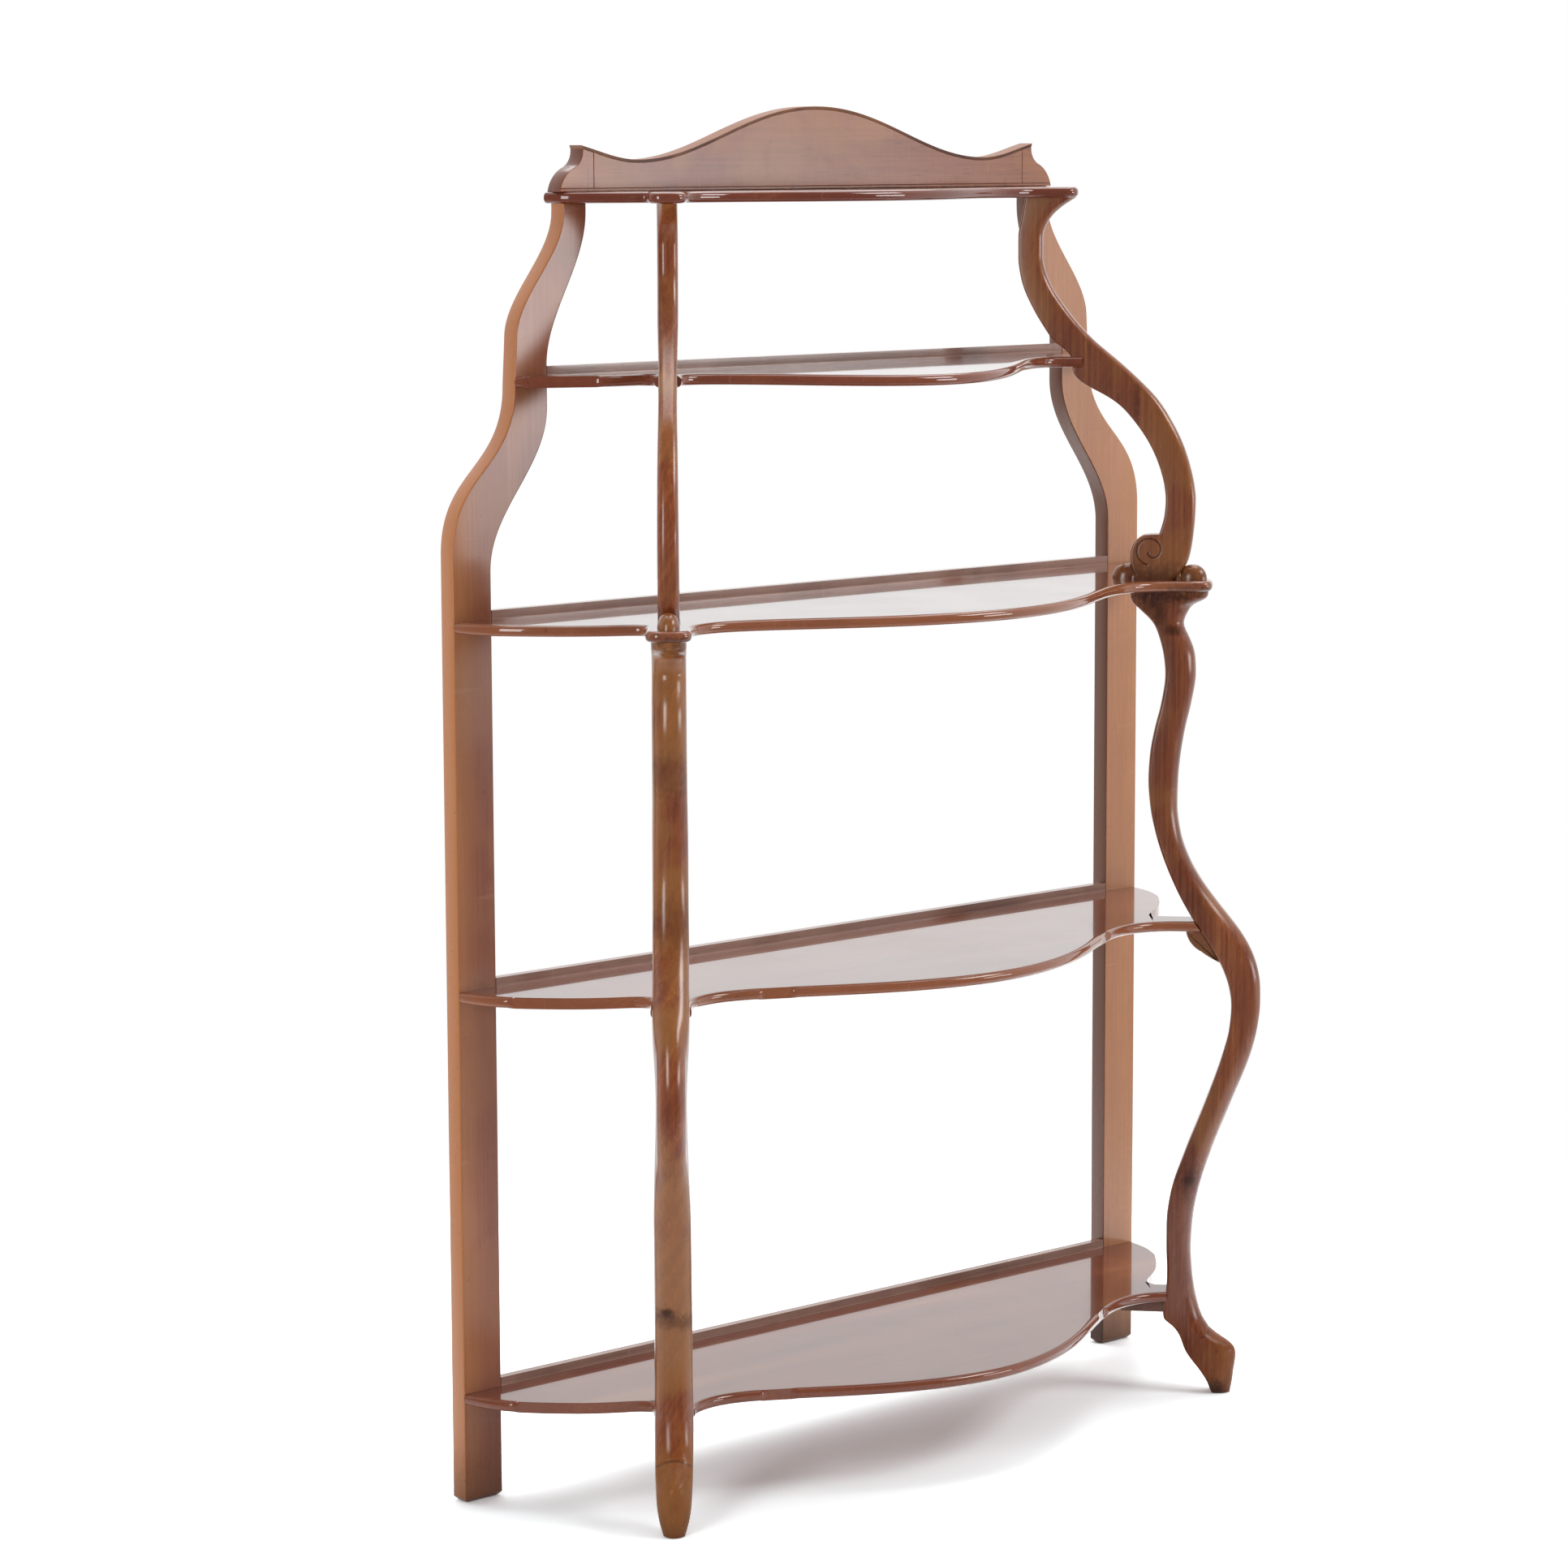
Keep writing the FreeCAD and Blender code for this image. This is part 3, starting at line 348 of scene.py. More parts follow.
# ---------------------------------------------------------------- meshes
def placed(name, data):
    """A new object in the scene."""
    thing = bpy.data.objects.new(name, data)
    bpy.context.scene.collection.objects.link(thing)
    return thing


def paint(mesh, material):
    mesh.materials.clear()
    mesh.materials.append(material)


def settle(bm, mesh, sharp=SHARP):
    """Writes a mesh back with its faces turned outwards and smooth between sharp edges."""
    bmesh.ops.recalc_face_normals(bm, faces=bm.faces)
    bm.to_mesh(mesh)
    bm.free()
    mesh.shade_smooth()
    mesh.set_sharp_from_angle(angle=math.radians(sharp))


def finish_piece(name, mesh, material, node, sharp=SHARP):
    """Makes a smooth piece that rides on the root and stands for its CAD node."""
    bm = bmesh.new()
    bm.from_mesh(mesh)
    bmesh.ops.remove_doubles(bm, verts=bm.verts, dist=1e-6)
    settle(bm, mesh, sharp)
    paint(mesh, material)
    piece = placed(name, mesh)
    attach(piece, "root")
    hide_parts(node)
    return piece


def new_mesh(name, verts, faces, label, values):
    """A mesh that keeps one number for each of its points under the label."""
    mesh = bpy.data.meshes.new(name)
    mesh.from_pydata(verts, [], faces)
    mesh.attributes.new(label, "FLOAT", "POINT").data.foreach_set("value", values)
    return mesh


def tube_faces(rings, count):
    """Faces between rings of count points each, ring after ring."""
    faces = []
    for low in range(0, (rings - 1) * count, count):
        high = low + count
        for i in range(count):
            j = (i + 1) % count
            faces.append((low + i, low + j, high + j, high + i))
    return faces


def closed_tube(rings, count):
    ends = [tuple(range(count)), tuple(range((rings - 1) * count, rings * count))]
    return tube_faces(rings, count) + ends


def plate_rings(points, weights, low, high, radius, steps):
    """Outline rings and levels up a plate with rounded edges, with a flat rim on each face."""
    half = [(inset(points, weights, radius + min(radius * RIM_SHARE, RIM_MOST)), 0.0)]
    for k in range(steps + 1):
        swing = math.radians(90.0 * k / steps)
        half.append((inset(points, weights, radius * (1 - math.sin(swing))),
                     radius * (1 - math.cos(swing))))
    return ([(ring, low + rise) for ring, rise in half]
            + [(ring, high - rise) for ring, rise in reversed(half)])


def plate(node, axis, points, weights, radius, steps, material, levels=None, put=None):
    """A board of the given outline, rounded where its edges have weight."""
    low, high = levels or (corner[axis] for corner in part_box(node))
    rings = plate_rings(points, weights, low, high, radius, steps)
    verts = np.vstack([np.insert(ring, axis, level, 1) for ring, level in rings]).tolist()
    if put:
        verts = [put(*v) for v in verts]
    rim = np.tile(rim_sides(points, axis), (len(rings), 1))
    rim[[0, 1, -2, -1]] = 0.0
    faces = closed_tube(len(rings), len(points))
    mesh = new_mesh(node + "_board", verts, faces, "rim", rim.ravel())
    return finish_piece(node + "_board", mesh, material, node)


def rim_sides(points, axis):
    """One along a board's edge, or minus one where an upright board's edge faces the middle."""
    if axis != 1:
        return np.ones(len(points))
    rise = np.roll(points, -1, 0)[:, 1] - np.roll(points, 1, 0)[:, 1]
    return np.where(rise * points[:, 0].mean() < 0, -1.0, 1.0)


def edge_weights(points, square):
    """One for each edge of the outline, or nought where square says that it stays square."""
    ends = np.roll(points, -1, 0)
    return np.array([0.0 if square(a, b) else 1.0 for a, b in zip(points, ends)])


def across_leg(a, b):
    """Whether an edge lies straight across the leg's plane, on either side."""
    run = (b - a) / np.linalg.norm(b - a)
    across = run[0] * math.copysign(math.sin(LEG_TURN), a[0]) + run[1] * math.cos(LEG_TURN)
    return abs(across) > SQUARE_TO_LEG and abs(a[0]) > FAR_OUT


def sagged(piece, sag, half_width, front, back):
    """Lets a shelf droop towards the middle of its front edge; its back and its ends stay."""
    for vert in piece.data.vertices:
        ahead = max(0.0, (back - vert.co.y) / (back - front))
        inward = max(0.0, 1.0 - (vert.co.x / half_width) ** 2)
        vert.co.z -= sag * ahead * inward


def meet_leg(piece, top_z):
    """Cuts the shelf's tongues on the slant of the leg, so that they meet it all the way down."""
    for vert in piece.data.vertices:
        sign = 1 if vert.co.x > 0 else -1
        s, z, n = leg_frame(vert.co, sign)
        if s > TONGUE_NEAR_LEG:
            share = min(1.0, (s - TONGUE_NEAR_LEG) / TONGUE_NEAR_LEG_RUN)
            vert.co = leg_place(s + LEG_SLANT * (top_z - z) * share, n, z, sign)


def make_shelf(tier, material):
    """A shelf board; its back and, where it has no lobes, its tongues stay square."""
    node = "shelf_" + tier
    low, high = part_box(node)
    points = outline_of(merged(node), 2, high[2])

    def square(a, b):
        return min(a[1], b[1]) > high[1] - NEAR or (tier not in LOBE_S and across_leg(a, b))

    weights = edge_weights(points, square)
    points = inset(points, weights, -BEVEL)
    piece = plate(node, 2, points, weights, BULLNOSE, BULLNOSE_STEPS, material)
    if tier == "fourth":
        meet_leg(piece, high[2])
    sagged(piece, SHELF_SAG[tier], SAG_REACH[tier], low[1], high[1])


def make_upright(side, material):
    node = "back_upright_" + side
    low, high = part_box(node)
    foot_top = UPRIGHT_FOOT + NEAR
    points = outline_of(merged(node), 1, low[1])
    weights = edge_weights(points, lambda a, b: max(a[1], b[1]) < foot_top)
    piece = plate(node, 1, points, weights, UPRIGHT_ARRIS, ARRIS_STEPS, material)
    foot = points[points[:, 1] < foot_top]
    add_foot(piece, foot[:, 0].min(), foot[:, 0].max(), low[1], high[1])


def add_foot(piece, x_low, x_high, y_low, y_high):
    """The chamfered end of an upright, worn round at its edges."""
    bm = bmesh.new()
    bm.from_mesh(piece.data)
    rings = []
    for rise, share in FOOT_ROUND:
        cut = UPRIGHT_FOOT * share
        corners = ((x_low + cut, y_low + cut), (x_high - cut, y_low + cut),
                   (x_high - cut, y_high - cut), (x_low + cut, y_high - cut))
        rings.append([bm.verts.new((x, y, UPRIGHT_FOOT * rise)) for x, y in corners])
    for lower, upper in zip(rings, rings[1:]):
        for i in range(4):
            bm.faces.new((lower[i], lower[(i + 1) % 4], upper[(i + 1) % 4], upper[i]))
    bm.faces.new(rings[-1])
    settle(bm, piece.data)


def make_board(node, material, radius, axis=1):
    """Any other flat piece: the face on its front, or underneath, is its outline."""
    points = outline_of(merged(node), axis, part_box(node)[0][axis])
    plate(node, axis, points, np.ones(len(points)), radius, ARRIS_STEPS, material)


def rail_tree():
    """Nodes for a bar along x with rounded upper edges; "rise" runs from -0.5 to 0.5 up it."""
    sizes = dict.fromkeys(("Half Length", "Thickness", "Height", "Round"), "Float")
    tree, start = new_group("rail_bar", {**sizes, "Middle": "Vector", "Material": "Material"},
                            ("Geometry",), "GeometryNodeTree", "Geometry")
    ahead = add(tree, "CombineXYZ", {"X": start["Half Length"]})
    back = add(tree, "VectorMath", {0: ahead, "Scale": -1.0}, operation="SCALE")
    run = add(tree, "GeometryNodeCurvePrimitiveLine", {"Start": back, "End": ahead})
    profile = add(tree, "GeometryNodeCurvePrimitiveQuadrilateral",
                  {"Width": start["Thickness"], "Height": start["Height"]})
    place = add(tree, "SeparateXYZ", {0: add(tree, "GeometryNodeInputPosition")}).node.outputs
    upper = add(tree, "FunctionNodeCompare", {"A": place["Y"]}, data_type="FLOAT",
                operation="GREATER_THAN")
    fillet = add(tree, "GeometryNodeFilletCurve",
                 {"Curve": profile, "Count": RAIL_STEPS,
                  "Radius": calc(tree, "MULTIPLY", upper, start["Round"])}, mode="POLY")
    bar = add(tree, "GeometryNodeCurveToMesh", {"Curve": run, "Profile Curve": fillet, "Fill Caps": True})
    rise = calc(tree, "DIVIDE", place["Z"], start["Height"])
    bar = add(tree, "GeometryNodeStoreNamedAttribute", {"Geometry": bar, "Name": "rise", "Value": rise},
              data_type="FLOAT", domain="POINT")
    bar = add(tree, "GeometryNodeTransform", {"Geometry": bar, "Translation": start["Middle"]})
    bar = add(tree, "GeometryNodeRealizeInstances", {"Geometry": bar})
    bar = add(tree, "GeometryNodeSetMaterial", {"Geometry": bar, "Material": start["Material"]})
    add(tree, "NodeGroupOutput", {"Geometry": bar})
    return tree


def baked(name, tree, values):
    """The mesh that a tree of geometry nodes makes from its named inputs."""
    holder = placed(name + "_holder", bpy.data.meshes.new(name + "_holder"))
    modifier = holder.modifiers.new("make", "NODES")
    modifier.node_group = tree
    keys = {item.name: item.identifier for item in tree.interface.items_tree
            if item.item_type == "SOCKET" and item.in_out == "INPUT"}
    for label, value in values.items():
        modifier[keys[label]] = value
    depsgraph = bpy.context.evaluated_depsgraph_get()
    mesh = bpy.data.meshes.new_from_object(holder.evaluated_get(depsgraph), depsgraph=depsgraph)
    bpy.data.objects.remove(holder)
    return mesh


def make_rail(tier, tree, material):
    """A back rail between the uprights, its upper edges rounded."""
    node = "back_rail_" + tier
    low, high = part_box(node)
    values = {"Half Length": (high[0] - low[0]) / 2, "Thickness": high[1] - low[1],
              "Height": high[2] - low[2], "Round": RAIL_ROUND,
              "Middle": tuple((low + high) / 2), "Material": material}
    finish_piece(node + "_bar", baked(node, tree, values), material, node)


# ---------------------------------------------------------------- legs
def leg_place(s, n, z, sign):
    """A place along and across a leg's plane; sign is 1 on the right and -1 on the left."""
    x = LEG_ROOT.x + s * math.cos(LEG_TURN) + n * math.sin(LEG_TURN)
    y = LEG_ROOT.y - s * math.sin(LEG_TURN) + n * math.cos(LEG_TURN)
    return (sign * x, y, z)


def leg_frame(point, sign):
    """A place in the frame given as s, z and n of a leg's plane."""
    x, y = sign * point[0] - LEG_ROOT.x, point[1] - LEG_ROOT.y
    return (x * math.cos(LEG_TURN) - y * math.sin(LEG_TURN), point[2],
            x * math.sin(LEG_TURN) + y * math.cos(LEG_TURN))


def leg_levels(node):
    """Height, inner edge, outer edge and half thickness at each of the right leg's sections."""
    bm = merged(node)
    rows = {}
    for v in bm.verts:
        s, z, n = leg_frame(v.co, 1)
        rows.setdefault(round(z, 5), []).append((s, n))
    bm.free()
    levels = []
    for z, spots in sorted(rows.items()):
        s, n = np.array(spots).T
        if len(spots) >= SECTION_POINTS and n.min() < -SECTION_HALF:
            levels.append((z, s.min(), s.max(), n.max()))
    return np.array(levels)


def smooth_column(z, value, heights):
    """A curve through the values over height that never overshoots them."""
    run = np.diff(z)
    rise = np.diff(value) / run
    same = rise[:-1] * rise[1:] > 0
    weight_one = 2 * run[1:] + run[:-1]
    weight_two = run[1:] + 2 * run[:-1]
    safe_one = np.where(same, rise[:-1], 1.0)
    safe_two = np.where(same, rise[1:], 1.0)
    mean = (weight_one + weight_two) / (weight_one / safe_one + weight_two / safe_two)
    slope = np.concatenate([rise[:1], np.where(same, mean, 0.0), rise[-1:]])
    at = np.clip(np.searchsorted(z, heights, side="right") - 1, 0, len(z) - 2)
    return hermite((heights - z[at]) / run[at], value[at], run[at] * slope[at],
                   value[at + 1], run[at] * slope[at + 1])


def smoothed(values, reach):
    """Takes the small kinks out of evenly spaced values; the ends stay."""
    kernel = np.hanning(2 * reach + 3)[1:-1]
    kernel /= kernel.sum()
    padded = np.concatenate([2 * values[0] - values[reach:0:-1], values,
                             2 * values[-1] - values[-2:-reach - 2:-1]])
    return np.convolve(padded, kernel, mode="valid")


def stepped(low, high, step):
    return np.linspace(low, high, max(2, math.ceil((high - low) / step) + 1))


def zoned(bounds, steps):
    """Heights from the first bound to the last, with a step of its own in each zone."""
    zones = [stepped(*zone) for zone in zip(bounds, bounds[1:], steps)]
    return np.concatenate([zone[:-1] for zone in zones[:-1]] + zones[-1:])


def section(inner, outer, half, back, nose, side_steps):
    """Points round a leg's section: small rounds inside, a broad crowned nose outside."""
    width = outer - inner
    nose = min(nose, half - NOSE_SPARE, width * 0.5)
    back = min(back, half * BACK_SHARE, width * BACK_SHARE)
    points = []

    def corner(cs, cn, radius, first):
        for k in range(LEG_CORNER_STEPS + 1):
            swing = math.radians(first + 90.0 * k / LEG_CORNER_STEPS)
            points.append((cs + radius * math.cos(swing), cn + radius * math.sin(swing)))

    def side(start, stop, n):
        for k in range(1, side_steps):
            points.append((start + (stop - start) * k / side_steps, n))

    corner(outer - nose, half - nose, nose, 0.0)
    side(outer - nose, inner + back, half)
    corner(inner + back, half - back, back, 90.0)
    points.append((inner, 0.0))
    corner(inner + back, back - half, back, 180.0)
    side(inner + back, outer - nose, -half)
    corner(outer - nose, nose - half, nose, 270.0)
    for k in range(1, NOSE_STEPS):
        points.append((outer, (nose - half) * (1 - 2 * k / NOSE_STEPS)))
    s, n = np.array(points).T
    share = (s - (inner + outer) / 2) / (width / 2)
    crown = LEG_CROWN * (n / half) ** 2 * np.clip(share, 0, 1)
    return np.column_stack([s - crown, n * (1 - LEG_PILLOW * share**2)])


def leg_mesh(heights, columns, back, nose, side_steps, carve, sign):
    """Rings of a leg from its foot to its top, closed at both ends."""
    rings = [np.insert(section(*row, back, nose, side_steps), 2, z, 1)
             for z, row in zip(heights, zip(*columns))]
    count = len(rings[0])
    spots, cut = carve(np.vstack(rings), np.repeat(columns[2], count))
    verts = [leg_place(s, n, z, sign) for s, n, z in spots]
    return verts, closed_tube(len(rings), count), cut


def bell(away, reach):
    return np.exp(-(away / reach) ** 2)


def run_in(value, start, run):
    """Nought up to the start and one from the end of the run."""
    return np.clip((value - start) / run, 0, 1)


def carve_foot(spots, half):
    """A toe's arched crease, dome and taper; also gives each place its share of painted shade in the
    crease.
    """
    s, n, z = spots.T.copy()
    across = n / half
    arch = TOE_CREASE_Z - TOE_CREASE_DROP * across**2
    cut = TOE_CREASE_DEPTH * bell(z - arch, TOE_CREASE_HALF) * run_in(s, *TOE_CREASE_FRONT)
    s = s - cut * (1 - TOE_CREASE_EASE * np.abs(across))
    dome, dome_z, dome_reach = TOE_DOME
    s = s - dome * across**2 * bell(z - dome_z, dome_reach) * run_in(s, *TOE_DOME_FRONT)
    ankle_s, ankle_z, ankle_reach = ANKLE_CREASE
    n = n * (1 - ANKLE_DEPTH * bell(np.hypot(s - ankle_s, z - ankle_z), ankle_reach))
    n = n * (1 - TOE_TAPER * run_in(s, *TOE_TIP) ** 2)
    return np.column_stack([s, n, z]), TOE_CREASE_SHADE * cut / TOE_CREASE_DEPTH


def spiral_points():
    """The line of the scroll's cut, from its lower end to its eye, as s and z."""
    t = np.linspace(0.0, 1.0, SCROLL_POINTS)
    swing = SCROLL_START - SCROLL_WIND * t
    first, fall, curl = SCROLL_LINE
    radius = (first - fall * t - curl * t**4) * MM
    return (SCROLL_S + SCROLL_EYE[0] + radius * np.cos(swing),
            SCROLL_RISE + SCROLL_EYE[1] + radius * np.sin(swing))


def carve_scroll(spots, half, base_z):
    """The spiral cut into both faces of the scroll; also gives how deep each place is cut, as a share that
    sets its painted shade.
    """
    s, n, z = spots.T.copy()
    line_s, line_z = spiral_points()
    near = np.flatnonzero(z < base_z + SCROLL_RISE + SCROLL_RADIUS)
    gap = np.hypot(s[near, None] - line_s[None], (z[near, None] - base_z) - line_z[None]).min(1)
    share = np.zeros(len(s))
    share[near] = bell(gap, SCROLL_CUT_HALF)
    share[np.abs(n) <= SCROLL_FACE * half] = 0.0
    return np.column_stack([s, n - np.sign(n) * SCROLL_CUT * share, z]), share


def lower_columns():
    """Heights and outline values of a lower leg, with the rounded lip at its head."""
    rows = leg_levels("lower_leg_right")
    top = rows[-1, 0]
    foot = np.array(FOOT_ROWS)
    lip = np.array([(top - depth, inner, outer) for depth, inner, outer in reversed(LIP_ROWS)])
    over_foot, under_lip = BODY_CLEAR
    clear = (rows[:, 0] > foot[-1, 0] + over_foot) & (rows[:, 0] < lip[0, 0] - under_lip)
    outline = np.vstack([foot, rows[clear, :3], lip])
    heights = zoned((0.0, *CREASE_ZONE, top - LIP_ZONE, top),
                    (TOE_STEP, CREASE_STEP, LEG_STEP, LIP_STEP))
    even = stepped(0.0, top, FINE_STEP)
    half = smoothed(smooth_column(rows[:, 0], rows[:, 3], even), HALF_EASE)
    half += smoothed(np.interp(even, *zip(*LEG_SWELL)), SWELL_EASE)
    crisp = np.maximum(run_in(foot[-1, 0] - even, 0.0, CRISP_RUN),
                       run_in(even, top - LIP_CRISP, CRISP_RUN))
    columns = []
    for k in (1, 2):
        rough = smooth_column(outline[:, 0], outline[:, k], even)
        columns.append(crisp * smoothed(rough, CRISP_EASE) + (1 - crisp) * smoothed(rough, BODY_EASE))
    return heights, [np.interp(heights, even, column) for column in (*columns, half)]


def upper_columns(base_z):
    """Heights and outline values of an upper leg; the scroll bulges out of its inner edge."""
    rows = leg_levels("upper_leg_right")
    foot = [(base_z + rise, inner, outer, half) for rise, inner, outer, half in SHIN_ROWS]
    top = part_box("shelf_top")[0].z
    rows = rows[(rows[:, 0] > foot[-1][0] + 1e-4) & (rows[:, 0] <= top + 1e-5)]
    rows = np.vstack([foot, rows])
    even = stepped(base_z, top, FINE_STEP)
    crown = base_z + SCROLL_RISE + SCROLL_RADIUS
    heights = zoned((base_z, crown - CROWN_ZONE[0], crown + CROWN_ZONE[1], top),
                    (SCROLL_STEP, CROWN_STEP, LEG_STEP))
    inner, outer, half = (
        np.interp(heights, even, smoothed(smooth_column(rows[:, 0], rows[:, k], even), UPPER_EASE))
        for k in (1, 2, 3))
    rise = heights - base_z - SCROLL_RISE
    reach = np.where(rise > 0, SCROLL_RADIUS, SCROLL_DROP)
    swell = np.sqrt(np.clip(1 - (rise / reach) ** 2, 0, None))
    scroll = np.where(rise < SCROLL_RADIUS, SCROLL_S - SCROLL_RADIUS * swell, inner)
    return heights, [np.minimum(inner, scroll), outer, half]


def boss_mesh(sign, base_z, spec):
    """A full oval dome beside the scroll, flat underneath."""
    middle, half_length, half_width, height = spec
    verts = []
    for a in range(BOSS_UP):
        climb = math.radians(90.0 * a / BOSS_UP)
        shrink = math.cos(climb) ** (2 / BOSS_FULLNESS)
        rise = math.sin(climb) ** (2 / BOSS_FULLNESS)
        for k in range(BOSS_AROUND):
            swing = 2 * math.pi * k / BOSS_AROUND
            verts.append(leg_place(middle + half_length * shrink * math.cos(swing),
                                   half_width * shrink * math.sin(swing),
                                   base_z + height * rise, sign))
    last = len(verts) - BOSS_AROUND
    fan = [(last + k, last + (k + 1) % BOSS_AROUND, len(verts)) for k in range(BOSS_AROUND)]
    verts.append(leg_place(middle, 0.0, base_z + height, sign))
    faces = tube_faces(BOSS_UP, BOSS_AROUND) + fan + [tuple(range(BOSS_AROUND))]
    return verts, faces, np.zeros(len(verts))


def finish_leg(node, parts, material):
    """Joins a leg's parts into one carved piece."""
    verts, faces, cuts = [], [], []
    for more_verts, more_faces, more_cuts in parts:
        start = len(verts)
        verts += more_verts
        faces += [tuple(i + start for i in face) for face in more_faces]
        cuts.append(more_cuts)
    mesh = new_mesh(node, verts, faces, "cut", np.concatenate(cuts))
    finish_piece(node + "_carved", mesh, material, node, LEG_SHARP)


def make_lower_leg(side, material):
    heights, columns = lower_columns()
    leg = leg_mesh(heights, columns, LOWER_BACK, LOWER_NOSE, SIDE_STEPS, carve_foot, SIDES[side])
    finish_leg("lower_leg_" + side, [leg], material)


def make_upper_leg(side, material):
    sign = SIDES[side]
    base_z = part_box("shelf_third")[1].z

    def carve(spots, half):
        return carve_scroll(spots, half, base_z)

    heights, columns = upper_columns(base_z)
    leg = leg_mesh(heights, columns, UPPER_BACK, UPPER_NOSE, SCROLL_STEPS, carve, sign)
    finish_leg("upper_leg_" + side, [leg, *(boss_mesh(sign, base_z, spec) for spec in BOSSES)], material)


def make_bracket(side, material):
    """The shaped block under the fourth shelf, drawn in the leg's plane."""
    node = "bracket_block_" + side
    sign = SIDES[side]
    bm = merged(node)
    for v in bm.verts:
        v.co = leg_frame(v.co, sign)
    levels = [v.co.z for v in bm.verts]
    levels = (min(levels), max(levels))
    points = outline_of(bm, 2, levels[0])

    def put(s, z, n):
        return leg_place(s, n, z, sign)

    plate(node, 2, points, np.ones(len(points)), BRACKET_ARRIS, ARRIS_STEPS, material, levels, put)


# ---------------------------------------------------------------- shared shader effects
def linear(colour):
    """A shader's colour from screen values of 0 to 255."""
    shares = [value / 255.0 for value in colour]
    return (*(s / 12.92 if s <= 0.04045 else ((s + 0.055) / 1.055) ** 2.4 for s in shares), 1.0)


def ramp(tree, value, stops):
    """A colour ramp over a value; stops are (place, screen colour)."""
    node = add(tree, "ValToRGB", {"Fac": value}).node
    while len(node.color_ramp.elements) < len(stops):
        node.color_ramp.elements.new(0.5)
    for element, (place, colour) in zip(node.color_ramp.elements, stops):
        element.position = place
        element.color = linear(colour)
    return node.outputs["Color"]


def between(tree, value, low, high, first=0.0, last=1.0, curve="SMOOTHSTEP"):
    """The first number at the low value, the last at the high one and a smooth run between."""
    return add(tree, "MapRange", {"Value": value, "From Min": low, "From Max": high,
                                  "To Min": first, "To Max": last}, interpolation_type=curve)


def spread(tree, *run):
    """The same with a straight run."""
    return between(tree, *run, curve="LINEAR")


def noise(tree, place, scale, detail, roughness=0.5, distortion=0.0):
    """Noise over a place; a scale of three numbers stretches it."""
    if isinstance(scale, tuple):
        place = add(tree, "Mapping", {"Vector": place, "Scale": scale})
        scale = 1.0
    return add(tree, "TexNoise", {"Vector": place, "Scale": scale, "Detail": detail,
                                  "Roughness": roughness, "Distortion": distortion})


def grain_group():
    """Mahogany figure along the group's Z axis: broad tone, slanted figure, fine streaks, pores."""
    weights = {"Broad": 1.0, "Slanted": 0.3, "Fine": 1.0}
    group, start = new_group("mahogany_grain", {"Vector": "Vector", **weights},
                             ("Tone", "Pores", "Height"))
    place = start["Vector"]
    turned = add(group, "Mapping", {"Vector": place, "Rotation": SLANT})
    figures = {"Broad": noise(group, place, (14.0, 14.0, 1.3), 4.0, 0.55, 0.4),
               "Slanted": noise(group, turned, (110.0, 6.0, 6.0), 3.0, 0.6),
               "Fine": noise(group, place, (260.0, 260.0, 4.5), 3.0, 0.55)}
    total, weight = 0.0, 0.0
    for label, figure in figures.items():
        total = calc(group, "MULTIPLY_ADD", figure, start[label], total)
        weight = calc(group, "ADD", weight, start[label])
    pores = spread(group, noise(group, place, (800.0, 800.0, 34.0), 1.0), 0.64, 0.74)
    add(group, "NodeGroupOutput", {"Tone": calc(group, "DIVIDE", total, weight), "Pores": pores,
                                   "Height": calc(group, "SUBTRACT", figures["Fine"], pores)})
    return group


def wear_group():
    """Soft patches, thin scratches and small spots, as masks."""
    group, start = new_group("polish_wear", {"Vector": "Vector"}, ("Haze", "Patches", "Scratches", "Spots"))
    place = start["Vector"]
    scratches = 0.0
    for turn, limit in SCRATCHES:
        turned = add(group, "Mapping", {"Vector": place, "Rotation": (0.3, 0.2, turn),
                                        "Scale": (11.0, 620.0, 70.0)})
        lines = spread(group, noise(group, turned, 1.0, 1.5), limit - 0.03, limit)
        scratches = calc(group, "MAXIMUM", scratches, lines)
    blotches = noise(group, place, 10.5, 2.5, 0.5, 0.3)
    add(group, "NodeGroupOutput", {"Haze": noise(group, place, 9.0, 5.0),
                                   "Patches": between(group, blotches, 0.42, 0.62),
                                   "Scratches": scratches,
                                   "Spots": spread(group, noise(group, place, 130.0, 2.0), 0.72, 0.78)})
    return group


def mark_group():
    """A ragged soft mark round a place: one in its middle, nought beyond its reach."""
    places = dict.fromkeys(("Vector", "Place", "Reach"), "Vector")
    group, start = new_group("mark_and_shade", {**places, "Strength": 1.0}, ("Mask",))
    away = add(group, "VectorMath", {0: start["Vector"], 1: start["Place"]}, operation="SUBTRACT")
    shares = add(group, "VectorMath", {0: away, 1: start["Reach"]}, operation="DIVIDE")
    length = add(group, "VectorMath", {0: shares}, "Value", operation="LENGTH")
    ragged = calc(group, "MULTIPLY_ADD", noise(group, start["Vector"], 170.0, 4.0), 1.1, length)
    add(group, "NodeGroupOutput", {"Mask": between(group, ragged, 1.5, 0.75, 0.0, start["Strength"])})
    return group


SLANT = (0.0, math.radians(-37.6), math.radians(34.8))  # turns the slanted figure across the grain
SCRATCHES = ((0.5, 0.735), (-0.9, 0.745))  # turn of each set, and how few they are
GRAIN = grain_group()
WEAR = wear_group()
MARK = mark_group()
GRAIN_TURN = ((0.0, math.radians(90), 0.0), (math.radians(90), 0.0, 0.0), (0.0, 0.0, 0.0))
